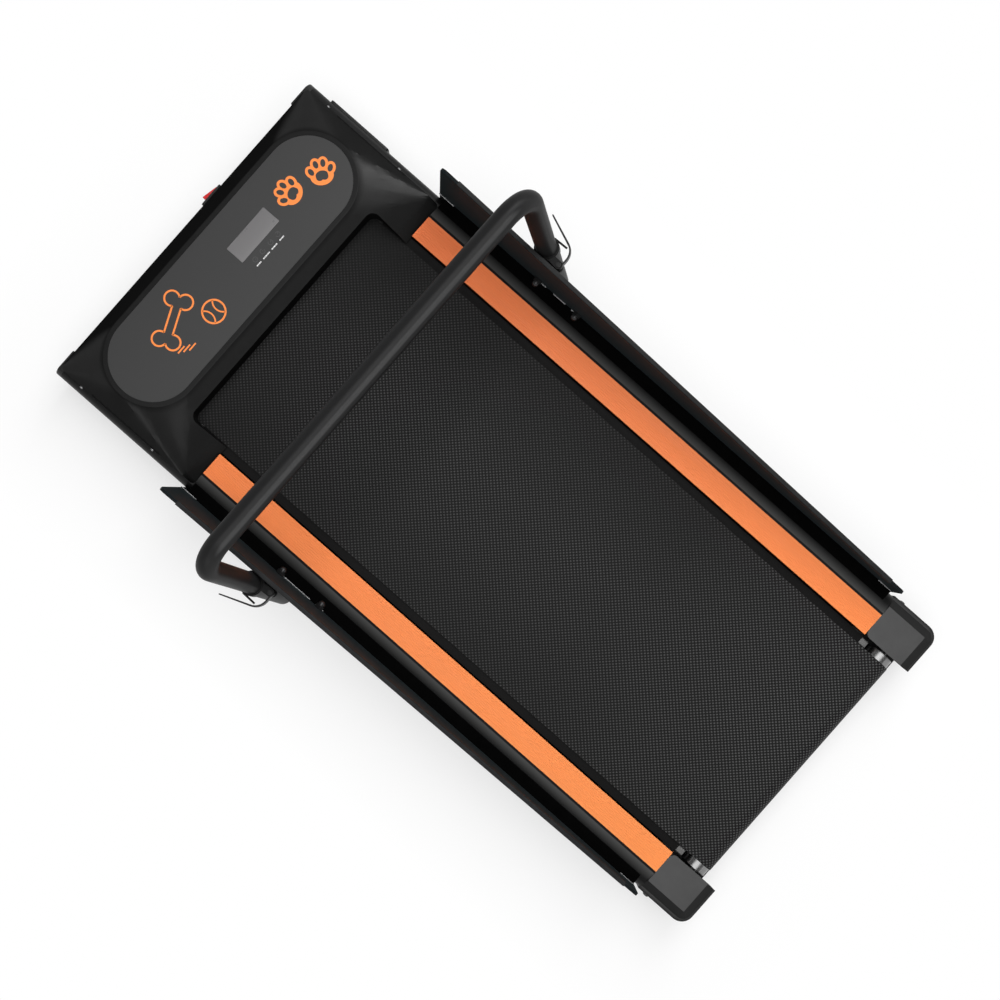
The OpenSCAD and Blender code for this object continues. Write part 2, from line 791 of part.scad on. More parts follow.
// Tray that closes the motor bay from below
module belly_pan() {
  color("#1c1c1d") {
    difference() {
      box([-x_in, mouth_y + 2, pan_z], [x_in, rail_front_y, pan_top]);
      both_sides()
        box([ear_x - 2, wheel_y - wheel_r - 4, pan_z - 1], [x_in + 1, rail_front_y + 1, pan_top + 1]);
      for (i = [-5:5])
        box([i * 14 - 4, mouth_y + 14, pan_z - 1], [i * 14 + 4, mouth_y + 44, pan_top + 1]);
    }
    both_sides() box([x_in - 2, mouth_y + 2, pan_top - 1], [x_in, wheel_y - wheel_r - 6, pan_top + 10]);
    box([-ear_x + 4, rail_front_y - 2, pan_top - 1], [ear_x - 4, rail_front_y, pan_top + 8]);
  }
}

module oval(l, w) {
  translate([0, oval_y]) {
    square([l - w, w], center = true);
    for (s = [-1, 1])
      translate([s * (l - w) / 2, 0]) circle(d = w, $fn = 72);
  }
}

hood_x = x_out - 10;

// Hood as a loft from its base through the skirt to the oval, each drawn t further in
module hood_form(t, roof) {
  hull() {
    translate([0, 0, strip_z - (t > 0 ? 1 : 0)]) linear_extrude(0.2)
      plate([-hood_x + t, hood_rear_y + t], [hood_x - t, hood_front_y - t], 6 - t / 2, $fn = 32);
    translate([0, 0, strip_z + skirt_h - t]) linear_extrude(0.2)
      plate([-hood_x + 1 + t, hood_rear_y + arm_slope + t], [hood_x - 1 - t, hood_front_y - 1 - t],
        6 - t / 2, $fn = 32);
    translate([0, 0, hood_top - roof - 0.2]) linear_extrude(0.2)
      oval(oval_len - 2 * t, oval_w - 2 * t);
  }
}

// Opening over the belt, drawn t larger
module mouth(t) {
  w = x_belt + 1.5 + t;
  along_z(strip_z - 2, hood_top + 1)
    rounded([[-w, hood_rear_y - 2], [w, hood_rear_y - 2], [w, mouth_y + t], [-w, mouth_y + t]],
      [0, 0, mouth_r + t, mouth_r + t]);
}

hood_roof = 7;
lip_h = panel_plate_t + 0.5;
window_y = oval_y + 6.8;
screw_ys = [hood_front_y - 35.5, hood_front_y - 154];
screw_z = strip_z + skirt_h / 2;

module motor_hood() {
  color("#232323") difference() {
    hood_form(0, 0);
    mouth(0);
    difference() {
      hood_form(hood_wall, hood_roof);
      mouth(hood_wall);
    }
    // Seat of the control panel and the opening for the display
    along_z(hood_top - lip_h, hood_top + 1) oval(oval_len - 2 * lip_w, oval_w - 2 * lip_w);
    along_z(hood_top - hood_roof - 1, hood_top)
      plate([window_x - window_w / 2 + 4, window_y - window_h / 2 + 3],
        [window_x + window_w / 2 - 4, window_y + window_h / 2 - 3], 1);
    both_sides() for (y = screw_ys) {
      rod_x(hood_x - hood_wall - 3, hood_x + 1, y, screw_z, 1.5 + hole_fit);
      rod_x(hood_x - 0.9, hood_x + 1, y, screw_z, 2.3 + hole_fit);
    }
  }
}

module hood_screws() {
  color("#b9bcbf") both_sides() for (y = screw_ys) {
    rod_x(hood_x - hood_wall - 5, hood_x, y, screw_z, 1.5);
    rod_x(hood_x - 0.9, hood_x + 0.8, y, screw_z, 2.3);
  }
}

module control_panel() {
  color("#424242") along_z(hood_top - lip_h, hood_top - lip_h + panel_plate_t) difference() {
    oval(oval_len - 2 * lip_w - 0.3, oval_w - 2 * lip_w - 0.3);
    plate([window_x - window_w / 2, window_y - window_h / 2],
      [window_x + window_w / 2, window_y + window_h / 2], 1.5);
  }
}

module display_window() {
  color("#706e6f") along_z(hood_top - lip_h, hood_top - lip_h + panel_plate_t)
    plate([window_x - window_w / 2 + hole_fit, window_y - window_h / 2 + hole_fit],
      [window_x + window_w / 2 - hole_fit, window_y + window_h / 2 - hole_fit], 1.4);
}

// Circuit board on the hood's roof with the display block in the opening
module display_board() {
  roof = hood_top - hood_roof;
  color("#2f5a3c") {
    box([window_x - 45, window_y - 22, roof - 1.6], [window_x + 45, window_y + 22, roof]);
    box([window_x - window_w / 2 + 5, window_y - window_h / 2 + 4, roof - 1],
      [window_x + window_w / 2 - 5, window_y + window_h / 2 - 4, hood_top - lip_h - 0.2]);
  }
}

// Rocker seen from above, about its pivot, tilted with the left end out
module rocker_outline() {
  w = rocker_w / 2;
  f = rocker_face;
  rotate(-rocker_tilt) rounded([[-w, f], [-w + 2.5, -1], [-3.4, -5], [3.4, -5], [w - 2.5, -1], [w, f]],
    [0.8, 2, 1.5, 1.5, 2, 0.8]);
}

module switch_rocker() {
  color("#d3262c") {
    translate([switch_x, pivot_y, switch_z - rocker_h / 2]) linear_extrude(rocker_h) rocker_outline();
    translate([switch_x, pivot_y, switch_z - rocker_h / 2 - 2]) cylinder(r = 1.5, h = rocker_h + 4);
  }
}

module switch_housing() {
  w = rocker_w / 2;
  h = rocker_h / 2;
  color("#161616") difference() {
    union() {
      along_y(pivot_y - 24, bezel_y - 1)
        plate([switch_x - w - 3, switch_z - h - 3], [switch_x + w + 3, switch_z + h + 3], 1);
      along_y(hood_front_y, bezel_y)
        plate([switch_x - w - 5.5, switch_z - h - 4.5], [switch_x + w + 5.5, switch_z + h + 4.5], 2);
    }
    box([switch_x - w - 1.6, pivot_y - 9, switch_z - h - free_gap],
      [switch_x + w + 1.6, bezel_y + 1, switch_z + h + free_gap]);
    translate([switch_x, pivot_y, switch_z - h - 2.1]) cylinder(r = 1.5 + run_fit, h = rocker_h + 4.2);
  }
}

// Mains inlet with three blades in its recess
module power_inlet() {
  color("#141414") difference() {
    union() {
      along_y(rail_front_y - 18, hood_front_y + 1)
        plate([inlet_x - 13.8, switch_z - 9.9], [inlet_x + 13.8, switch_z + 9.9], 2);
      along_y(hood_front_y, hood_front_y + 2)
        plate([inlet_x - 17, switch_z - 12.2], [inlet_x + 17, switch_z + 12.2], 2.5);
    }
    along_y(rail_front_y - 13, hood_front_y + 3)
      rounded([[inlet_x - 8, switch_z - 8], [inlet_x + 8, switch_z - 8], [inlet_x + 12, switch_z - 3],
        [inlet_x + 12, switch_z + 8], [inlet_x - 12, switch_z + 8], [inlet_x - 12, switch_z - 3]],
        [1, 1, 1, 2, 2, 1]);
  }
  color("#c9b37a") for (p = [[-7, 0.5], [0, 4], [7, 0.5]])
    box([inlet_x + p.x - 1, rail_front_y - 14, switch_z + p.y - 2],
      [inlet_x + p.x + 1, hood_front_y - 2, switch_z + p.y + 2]);
}

vent_t = 3.4;
vent_y0 = y_front - 129;
vent_y1 = y_front - 33;
vent_z0 = rail_top - 53;
vent_z1 = rail_top - 15;

// Louvred plate on the right side of the motor bay
module vent_grille() {
  color("#2a2a2b") {
    difference() {
      along_x(x_out, x_out + vent_t) plate([vent_y0, vent_z0], [vent_y1, vent_z1], 4);
      box([x_out - 1, vent_y0 + 8, vent_z0 + 5], [x_out + 7, vent_y1 - 8, vent_z1 - 5]);
    }
    for (i = [0:3])
      translate([x_out + 0.9, 0, vent_z0 + 6.4 + i * 6.6]) rotate([0, -35, 0])
        box([0, vent_y0 + 7.5, 0], [2.6, vent_y1 - 7.5, 1.2]);
  }
}

// Upright guard with its top falling to the rear
module side_panel() {
  difference() {
    along_x(panel_in, panel_out)
      stepped([[panel_rear_y, panel_z0], [panel_front_y, panel_z0], top_front, top_rear], [14, 14, 9, 7]);
    for (y = bolt_ys)
      rod_x(panel_in - 1, panel_out + 1, y, bolt_z, bolt_r + hole_fit);
    for (y = stud_ys)
      rod_x(panel_in - 1, panel_out + 1, y, stud_z, stud_r + hole_fit);
  }
}

module left_side_panel() {
  color("#2f2f30") mirror([1, 0, 0]) side_panel();
}

module right_side_panel() {
  color("#2f2f30") side_panel();
}

// Channel pressed over the panel's top edge
module edge_trim() {
  translate([0, top_rear.x, top_rear.y]) rotate([top_slope, 0, 0])
    along_y(22, top_len - 26) difference() {
      rounded([[panel_in - trim_t, -trim_h], [panel_out + trim_t, -trim_h], [panel_out + trim_t, trim_t],
        [panel_in - trim_t, trim_t]], [0.4, 0.4, 1.5, 1.5]);
      translate([panel_in, -trim_h - 1]) square([panel_t, trim_h + 1]);
    }
}

module left_edge_trim() {
  color("#151515") mirror([1, 0, 0]) edge_trim();
}

module right_edge_trim() {
  color("#151515") edge_trim();
}

// Strips that fill the gap between the rail and the panel, with a break at the posts
module panel_spacers() {
  color("#121212") both_sides() difference() {
    along_x(x_out, panel_in) {
      plate([panel_rear_y + 27, bolt_z - 15], [post_y - 64, shoulder_c.y], 2);
      plate([post_y + 18, bolt_z - 15], [panel_front_y - 24, shoulder_c.y], 2);
    }
    for (y = bolt_ys)
      rod_x(x_out - 1, panel_in + 1, y, bolt_z, bolt_r + hole_fit);
  }
}

function shoulder_at(a) = shoulder_c + (shoulder_r + 0.4) * [cos(a), sin(a)];

// Soft seals that close the corner between the rail's shoulder and the panel
module panel_seals() {
  color("#0a0a0a") both_sides() along_y(panel_rear_y + 3, min(panel_front_y, hood_rear_y) - 1)
    polygon([shoulder_at(88), shoulder_at(66), shoulder_at(45), [panel_in, shoulder_at(45).y],
      [panel_in, rail_top + 1], shoulder_at(88) + [0, 0.6]]);
}

// Bright strips on the panel above the seals, at its ends and under the studs
module edge_strips() {
  color("#c9ccce") both_sides()
    for (e = [[panel_rear_y + 4, panel_rear_y + 25], [stud_ys[0] - 8, stud_ys[1] + 10],
        [panel_front_y - 26, panel_front_y - 1]])
      box([panel_in - 1.2, e[0], rail_top + 1], [panel_in, e[1], rail_top + 2.2]);
}

module panel_bolts() {
  color("#9a9c9f") both_sides() for (y = bolt_ys) {
    rod_x(x_out - rail_wall - 4, panel_out + 1, y, bolt_z, bolt_r);
    translate([panel_out, y, bolt_z]) rotate([0, 90, 0])
      rotate_extrude() polygon([[0, 0], [6.2, 0], [6.2, 1.2], [4.6, 3.2], [0, 3.6]]);
  }
}

// Domed nuts on the studs of the posts, on the panel's inner side
module cap_nuts() {
  color("#a9acaf") both_sides() for (y = stud_ys)
    translate([panel_in, y, stud_z]) rotate([0, -90, 0]) difference() {
    union() {
      cylinder(r = 6.4, h = 5, $fn = 6);
      cylinder(r = 5, h = 6.4);
      translate([0, 0, 6.4]) sphere(r = 5);
    }
    translate([0, 0, -1]) cylinder(r = stud_r + run_fit, h = 8.5);
  }
}

// Post: a sleeve on a plate that is bolted through the panel
module post() {
  difference() {
    union() {
      leg_frame() translate([post_x, 0, -post_down]) cylinder(r = post_r, h = post_down + post_up);
      leg_frame() box([panel_out + 1, -9, -4], [post_x, 9, 22]);
      along_x(panel_out, panel_out + plate_t)
        plate([stud_ys[0] - 13, stud_z - 17], [stud_ys[1] + 15, stud_z + 17], 8);
      for (y = stud_ys)
        rod_x(panel_in - 7, panel_out + 1, y, stud_z, stud_r);
    }
    leg_frame() translate([post_x, 0, 4 - post_down])
      cylinder(r = tube_r + slide_fit, h = post_down + post_up);
    // Slit that lets the clamp close
    leg_frame() box([post_x - 0.8, 0, collar_z - 10], [post_x + 0.8, post_r + 1, post_up + 1]);
  }
}

module left_post() {
  color("#2a2a2b") mirror([1, 0, 0]) post();
}

module right_post() {
  color("#2a2a2b") post();
}

// Collar with a tension rod on its outer side and a fork for the lever behind
module clamp() {
  leg_frame() translate([post_x, 0, collar_z]) {
    difference() {
      union() {
        cylinder(r = post_r + collar_t, h = collar_h);
        rod_y(-17.5, 2, post_r + collar_t + 0.6, collar_h / 2, 1.3);
        for (z = [0, collar_h - 3])
          translate([-pin_side, 0, z]) linear_extrude(3) {
            translate([0, -pin_back]) circle(r = 5);
            polygon([[-5, -pin_back], [5, -pin_back], [6, -10], [-3, -10]]);
          }
      }
      translate([0, 0, -1]) cylinder(r = post_r + run_fit, h = collar_h + 2);
      translate([-pin_side, -pin_back, -1]) cylinder(r = pin_r, h = collar_h + 2);
    }
  }
}

module left_clamp() {
  color("#333436") mirror([1, 0, 0]) clamp();
}

module right_clamp() {
  color("#333436") clamp();
}

// Outline of the sheet lever from its barrel round the bend to the tip
module lever_strip() {
  mid = [lever_run, lever_bend + lever_t / 2 - 3.2];
  turn = lever_turn - 90;
  out = [cos(turn), sin(turn)];
  tip = mid + lever_bend * out + lever_len * [-out.y, out.x];
  polygon(concat([[1, -3.2]], arc_points(mid, lever_bend + lever_t / 2, -90, turn, 16),
    [tip + 0.8 * out, tip - 0.8 * out], arc_points(mid, lever_bend - lever_t / 2, turn, -90, 16),
    [[1, lever_t - 3.2]]));
}

// Bent lever about its pin: a barrel, a run from its edge, a wide bend and a tapering arm
module lever() {
  leg_frame() translate([post_x - pin_side, -pin_back, collar_z + 3 + free_gap]) difference() {
    union() {
      cylinder(r = 4, h = lever_h);
      linear_extrude(lever_h) lever_strip();
    }
    translate([0, 0, -1]) cylinder(r = pin_r + run_fit, h = lever_h + 2);
  }
}

module left_lever() {
  color("#1b1b1c") mirror([1, 0, 0]) lever();
}

module right_lever() {
  color("#1b1b1c") lever();
}

module lever_pins() {
  color("#a9acaf") both_sides() leg_frame() translate([post_x - pin_side, -pin_back, collar_z - 1]) {
    cylinder(r = pin_r, h = collar_h + 2);
    cylinder(r = 3, h = 1);
    translate([0, 0, collar_h + 1]) cylinder(r = 3, h = 1);
  }
}

// U of tube radius r, with its legs down to z0
module handle_form(r, z0) {
  both_sides() {
    translate([post_x, 0, z0]) cylinder(r = r, h = leg_rise - bend_r - z0);
    translate([post_x - bend_r, 0, leg_rise - bend_r]) rotate([90, 0, 0])
      rotate_extrude(angle = 90) translate([bend_r, 0]) circle(r = r);
  }
  translate([bend_r - post_x, 0, leg_rise]) rotate([0, 90, 0]) cylinder(r = r, h = 2 * (post_x - bend_r));
}

module handle_bar() {
  color("#38393b") leg_frame() difference() {
    handle_form(tube_r, 6 - post_down);
    handle_form(tube_r - tube_wall, 5 - post_down);
  }
}

module wheel() {
  translate([wheel_x - wheel_w, wheel_y, wheel_z]) rotate([0, 90, 0]) difference() {
    rotate_extrude() rounded([[wheel_axle_r + run_fit, 0], [wheel_r, 0], [wheel_r, wheel_w],
      [wheel_axle_r + run_fit, wheel_w]], [0, 4, 4, 0]);
    for (z = [-1, wheel_w - 3])
      translate([0, 0, z]) difference() {
        cylinder(r = wheel_r - 7, h = 4);
        translate([0, 0, -1]) cylinder(r = wheel_axle_r + 4, h = 6);
      }
  }
}

module left_wheel() {
  color("#1a1a1a") mirror([1, 0, 0]) wheel();
}

module right_wheel() {
  color("#1a1a1a") wheel();
}

module wheel_axles() {
  color("#8f9296") both_sides() rod_x(ear_x - 4, x_in + rail_wall + 2, wheel_y, wheel_z, wheel_axle_r);
}

module rubber_feet() {
  color("#161616") both_sides() for (y = foot_ys) translate([foot_x, y, 0]) {
    rotate_extrude() polygon([[0, 0], [foot_r - 1.5, 0], [foot_r, 1.5], [foot_r - 2, foot_h], [0, foot_h]]);
    translate([0, 0, foot_h - 1]) cylinder(r = stud_r, h = rail_wall + 6);
  }
}

left_side_rail();
right_side_rail();
left_foot_strip();
right_foot_strip();
left_end_cap();
right_end_cap();
end_cap_screws();
left_front_cap();
right_front_cap();
front_fascia();
cross_members();
front_cross_member();
deck_supports();
deck_cushions();
deck_board();
running_belt();
belt_guides();
front_roller();
front_axle();
rear_roller();
rear_axle();
roller_bearings();
roller_brackets();
tension_bolts();
motor();
motor_rotor();
motor_bracket();
drive_belt();
control_board();
belly_pan();
motor_hood();
hood_screws();
control_panel();
display_window();
display_board();
switch_housing();
switch_rocker();
power_inlet();
vent_grille();
left_side_panel();
right_side_panel();
left_edge_trim();
right_edge_trim();
panel_spacers();
panel_seals();
edge_strips();
panel_bolts();
cap_nuts();
left_post();
right_post();
left_clamp();
right_clamp();
left_lever();
right_lever();
lever_pins();
handle_bar();
left_wheel();
right_wheel();
wheel_axles();
rubber_feet();
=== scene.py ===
import json
from math import atan2, cos, pi, radians, sin

import bmesh
import bpy
from mathutils import Matrix, Vector


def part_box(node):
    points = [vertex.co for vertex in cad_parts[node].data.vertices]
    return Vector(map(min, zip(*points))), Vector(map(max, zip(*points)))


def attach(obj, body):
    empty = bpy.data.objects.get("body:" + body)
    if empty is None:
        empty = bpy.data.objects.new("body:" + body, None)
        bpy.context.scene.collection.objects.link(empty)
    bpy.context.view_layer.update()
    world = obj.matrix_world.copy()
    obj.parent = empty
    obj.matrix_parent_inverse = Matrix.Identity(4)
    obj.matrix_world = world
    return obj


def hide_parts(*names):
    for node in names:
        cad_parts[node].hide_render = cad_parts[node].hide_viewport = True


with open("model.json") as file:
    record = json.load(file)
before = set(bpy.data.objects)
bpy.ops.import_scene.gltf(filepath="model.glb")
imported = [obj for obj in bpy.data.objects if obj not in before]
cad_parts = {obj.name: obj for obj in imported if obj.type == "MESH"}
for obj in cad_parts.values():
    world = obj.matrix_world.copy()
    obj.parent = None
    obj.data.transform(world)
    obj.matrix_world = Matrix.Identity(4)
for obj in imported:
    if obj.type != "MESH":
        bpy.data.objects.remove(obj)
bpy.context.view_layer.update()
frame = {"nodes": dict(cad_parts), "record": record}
nodes = frame["nodes"]
scene = bpy.context.scene
scene.view_settings.view_transform = "Standard"
print("frame loaded:", len(nodes), "nodes")


# shader maths: a wire is a socket that takes plain operators
class Wire:
    def __init__(self, graph, socket):
        self.graph = graph
        self.socket = socket

    def __add__(self, other):
        return self.graph.math("ADD", self, other)

    def __radd__(self, other):
        return self.graph.math("ADD", other, self)

    def __sub__(self, other):
        return self.graph.math("SUBTRACT", self, other)

    def __rsub__(self, other):
        return self.graph.math("SUBTRACT", other, self)

    def __mul__(self, other):
        return self.graph.math("MULTIPLY", self, other)

    def __rmul__(self, other):
        return self.graph.math("MULTIPLY", other, self)

    def __abs__(self):
        return self.graph.math("ABSOLUTE", self)


# the nodes of a material or of the world
class Graph:
    def __init__(self, tree):
        self.tree = tree

    def add(self, kind, settings=None, sockets=None, out=0):
        node = self.tree.nodes.new("ShaderNode" + kind)
        for key, value in (settings or {}).items():
            setattr(node, key, value)
        for key, value in (sockets or {}).items():
            self.feed(node.inputs[key], value)
        return Wire(self, node.outputs[out])

    def feed(self, socket, value):
        if isinstance(value, Wire):
            self.tree.links.new(value.socket, socket)
        elif socket.type == "RGBA" and len(value) == 3:
            socket.default_value = (*value, 1)
        else:
            socket.default_value = value

    def math(self, operation, left, right=0.0):
        return self.add("Math", {"operation": operation}, {0: left, 1: right})

    def ramp(self, value, low, high):
        return self.add("MapRange", {"clamp": True}, {"Value": value, "From Min": low, "From Max": high})

    def band(self, value, low, high, most):
        return self.ramp(value, low, high) * most

    def weighted(self, first, second, shares):
        return first * shares[0] + second * shares[1]

    def uneven(self, noise, least, spread):  # a factor that wanders with the noise
        return least + noise * spread

    def split(self, vector):
        node = self.add("SeparateXYZ", {}, {0: vector}).socket.node
        return [Wire(self, output) for output in node.outputs]

    def sight(self):  # rays that are shown the white background
        path = self.add("LightPath").socket.node
        kinds = ("Is Camera Ray", "Is Glossy Ray", "Is Transmission Ray")
        camera, glossy, through = [Wire(self, path.outputs[kind]) for kind in kinds]
        return camera + glossy + through

    def cover(self, amount, under, over, output):
        mixed = self.add("MixShader", {}, {0: amount, 1: under, 2: over})
        self.feed(self.tree.nodes[output].inputs["Surface"], mixed)


class Finish(Graph):
    def __init__(self, name, **constants):
        self.material = bpy.data.materials.new(name)
        self.material.use_nodes = True
        super().__init__(self.material.node_tree)
        self.shader = self.tree.nodes["Principled BSDF"]
        for key, value in constants.items():
            self.shader.inputs[key.replace("_", " ")].default_value = value
        self.place = self.add("TexCoord", out="Object")

    def give(self, socket, value):
        self.feed(self.shader.inputs[socket], value)

    def noise(self, scale, detail=3.0, rough=0.5, stretch=None):
        place = self.place
        if stretch:
            place = self.add("Mapping", {}, {"Vector": place, "Scale": stretch})
        sockets = {"Vector": place, "Scale": scale, "Detail": detail, "Roughness": rough}
        return self.add("TexNoise", {}, sockets)

    def axis(self):
        return self.split(self.place)

    def blendColour(self, amount, first, second):
        return self.add("Mix", {"data_type": "RGBA"}, {0: amount, 6: first, 7: second}, out=2)

    def mottled(self, amount, colour, low, high):  # between a darker and a lighter shade of one colour
        return self.blendColour(amount, shade(colour, low), shade(colour, high))

    def roughen(self, base, spreads):  # each noise and how far it spreads the roughness
        for noise, spread in spreads:
            base = base + (noise - 0.5) * spread
        self.give("Roughness", base)

    def relief(self, height, depth, strength):
        sockets = {"Height": height, "Distance": depth, "Strength": strength}
        self.give("Normal", self.add("Bump", {}, sockets))


def shade(colour, factor):
    return tuple(min(1.0, c * factor) for c in colour)


# moulded plastic: fine grain and slow colour drift; gloss may lie on faces that look up or to the sides
mould = {"grain": (1400, 2.0, 0.6), "drift": (9, 3.0), "patches": (45, 4.0, 0.65), "shades": (0.82, 1.2),
    "spread": (0.16, 0.08), "depth": 0.00006, "strength": 0.5, "fullyUp": 0.985, "sideways": (0.3, 0.7),
    "lip": (0.003, 0.0004), "lipLoss": 0.6, "shelf": (0.008, 0.003), "shelfLoss": 0.45, "mix": (0.6, 0.4),
    "patchy": (0.8, 0.4)}


def mouldedPlastic(name, colour, rough, glossUp=0.0, glossSides=0.0, upFrom=0.62, lip=None, shelf=None,
        **constants):
    f = Finish(name, **constants)
    grain, drift, patches = [f.noise(*mould[key]) for key in ("grain", "drift", "patches")]
    f.give("Base Color", f.mottled(f.weighted(drift, grain, mould["mix"]), colour, *mould["shades"]))
    f.roughen(rough, zip((patches, grain), mould["spread"]))
    f.relief(grain, mould["depth"], mould["strength"])
    if glossUp:
        normal = f.split(f.add("NewGeometry", out="Normal"))
        z = f.axis()[2]
        gloss = f.band(normal[2], upFrom, mould["fullyUp"], glossUp)
        gloss = gloss + f.band(abs(normal[0]), *mould["sideways"], glossSides)
        if lip:  # duller on the lip, whose top is at this height
            start, end = [lip - drop for drop in mould["lip"]]
            gloss = gloss * (1 - f.band(z, start, end, mould["lipLoss"]))
        if shelf:  # duller on the ledge below the top, which is at this height
            start, end = [shelf - drop for drop in mould["shelf"]]
            gloss = gloss * (1 - mould["shelfLoss"] + f.band(z, start, end, mould["shelfLoss"]))
        f.give("Coat Weight", gloss * f.uneven(patches, *mould["patchy"]))
    return f.material


# powder coat: orange peel over metal, glossier where it faces the way that shine names
coat = {"peel": (420, 2.0, 0.45), "drift": (7, 3.0), "shades": (0.85, 1.18), "spread": (0.12, 0.1),
    "depth": 0.00008, "strength": 0.35, "patchy": (0.9, 0.2)}
tubeShine = {"towards": (0, -0.5, 0.866), "core": (0.95, 1.0), "coreGloss": 0.5,
    "wide": (0.72, 0.85, 0.055)}


def coatSkin(f, rough, depth):
    peel, drift = [f.noise(*coat[key]) for key in ("peel", "drift")]
    f.roughen(rough, zip((drift, peel), coat["spread"]))
    f.relief(peel, depth, coat["strength"])
    return peel, drift


def powderCoat(name, colour, rough, depth=coat["depth"], shine=None, **constants):
    f = Finish(name, **constants)
    peel, drift = coatSkin(f, rough, depth)
    f.give("Base Color", f.mottled(drift, colour, *coat["shades"]))
    if shine:
        pair = {0: f.add("NewGeometry", out="Normal"), 1: shine["towards"]}
        turned = f.add("VectorMath", {"operation": "DOT_PRODUCT"}, pair, out="Value")
        core = f.ramp(turned, *shine["core"])
        gloss = core * core * shine["coreGloss"] + f.band(turned, *shine["wide"])
        f.give("Coat Weight", gloss * f.uneven(peel, *coat["patchy"]))
    return f.material


# side rails: lighter beside the foot strip and darker along the seam with the strip; painted shade darkens
# them towards the guard, where the guard shades them
railTone = {"light": (0.074, 0.074, 0.073), "dark": (0.006, 0.006, 0.006), "fall": (0.2172, 0.2308),
    "wander": 0.0012, "seam": (0.2177, 0.2188), "rough": 0.4}


def railCoat(name):
    f = Finish(name, Specular_IOR_Level=0.14)
    peel, drift = coatSkin(f, railTone["rough"], coat["depth"])
    across = abs(f.axis()[0])
    # painted shade of the guard: darker from beside the strip out to the guard, with a wandering edge
    outer = f.ramp(across + (drift - 0.5) * railTone["wander"], *railTone["fall"])
    seam = 1 - f.ramp(across, *railTone["seam"])
    paintedShadeAndSeam = f.math("MAXIMUM", outer, seam)
    f.give("Base Color", f.blendColour(paintedShadeAndSeam, railTone["light"], railTone["dark"]))
    return f.material


# plated or turned steel with fine marks, drawn out where their noise is stretched
steel = {"marks": (900, 2.0, 0.6), "rings": (1200, 2.0, 0.6, (1, 0.04, 0.04)), "stain": (30, 4.0, 0.6),
    "shades": (0.78, 1.12), "spread": (0.2, 0.12), "depth": 0.00003, "strength": 0.4}


def platedSteel(name, colour, rough, marks="marks"):
    f = Finish(name, Metallic=1.0)
    lines, stain = f.noise(*steel[marks]), f.noise(*steel["stain"])
    f.give("Base Color", f.mottled(stain, colour, *steel["shades"]))
    f.roughen(rough, zip((lines, stain), steel["spread"]))
    f.relief(lines, steel["depth"], steel["strength"])
    return f.material


# rubber and foam with fine pores, lighter in dusty patches
rubber = {"pores": (1800, 2.0, 0.6), "dust": (60, 5.0, 0.65), "dusty": (0.4, 0.75), "shades": (1.0, 1.9),
    "spread": 0.25, "depth": 0.00005, "strength": 0.5}


def blackRubber(name, colour, rough, gloss):
    f = Finish(name, Specular_IOR_Level=gloss)
    pores, dust = f.noise(*rubber["pores"]), f.noise(*rubber["dust"])
    f.give("Base Color", f.mottled(f.ramp(dust, *rubber["dusty"]), colour, *rubber["shades"]))
    f.roughen(rough, [(dust, rubber["spread"])])
    f.relief(pores, rubber["depth"], rubber["strength"])
    return f.material


# foot strips: orange moulding with marks drawn out along it; painted light makes them paler towards the
# rear and the left, and painted shade of the guards leaves them darker towards the front and the right
strip = {"deep": (0.9, 0.2, 0.047), "pale": (0.985, 0.29, 0.067), "shades": (0.9, 1.06),
    "rear": (0.3, -0.45, 0.6), "left": (0.2, -0.2, 0.4), "drawn": (260, 4.0, 0.6, (1, 0.02, 1)),
    "drift": (5, 2.0), "grain": (1500, 2.0, 0.6), "rough": 0.5, "spread": 0.2, "depth": 0.00008,
    "strength": 0.4, "mix": (0.5, 0.5), "ridges": (0.3, 0.7)}


def stripPlastic(name):
    f = Finish(name, Specular_IOR_Level=0.35)
    drawn, drift, grain = [f.noise(*strip[key]) for key in ("drawn", "drift", "grain")]
    x, y = f.axis()[:2]
    # painted light and shade: paler where the guards shade the strips less
    paintedLight = f.band(y, *strip["rear"]) + f.band(x, *strip["left"])
    mixed = f.weighted(drawn, drift, strip["mix"])
    deep, pale = [f.mottled(mixed, strip[key], *strip["shades"]) for key in ("deep", "pale")]
    f.give("Base Color", f.blendColour(paintedLight, deep, pale))
    f.roughen(strip["rough"], [(drawn, strip["spread"])])
    f.relief(f.weighted(grain, drawn, strip["ridges"]), strip["depth"], strip["strength"])
    return f.material


# running belt: a lattice of raised knots set on the diagonal, their tops painted lighter as highlights
weave = {"pitch": (0.0041, 0.0036), "rear": (-0.49625, 0.0691), "radius": 0.0189, "crownFrom": (0.5, 0.95),
    "valley": (0.0035, 0.0035, 0.0035), "crown": (0.08, 0.08, 0.08), "patches": (4, 4.0, 0.6),
    "fibre": (2600, 2.0, 0.7), "rough": 0.62, "smoother": 0.14, "spread": 0.15, "depth": 0.0003,
    "strength": 0.8, "patchy": (0.75, 0.5), "raised": (0.9, 0.1)}
# how light its knots are: painted light makes them lightest at the rear, and painted shade darkens them at
# the sides, under the guards, and in front, under the hood
beltPaintedLight = {"middle": 0.6, "right": (0.02, 0.15, 0.55), "left": (-0.06, -0.15, 0.25),
    "front": (0.2, 0.3, 0.24), "rear": (-0.2, -0.46), "rearMost": 0.97}


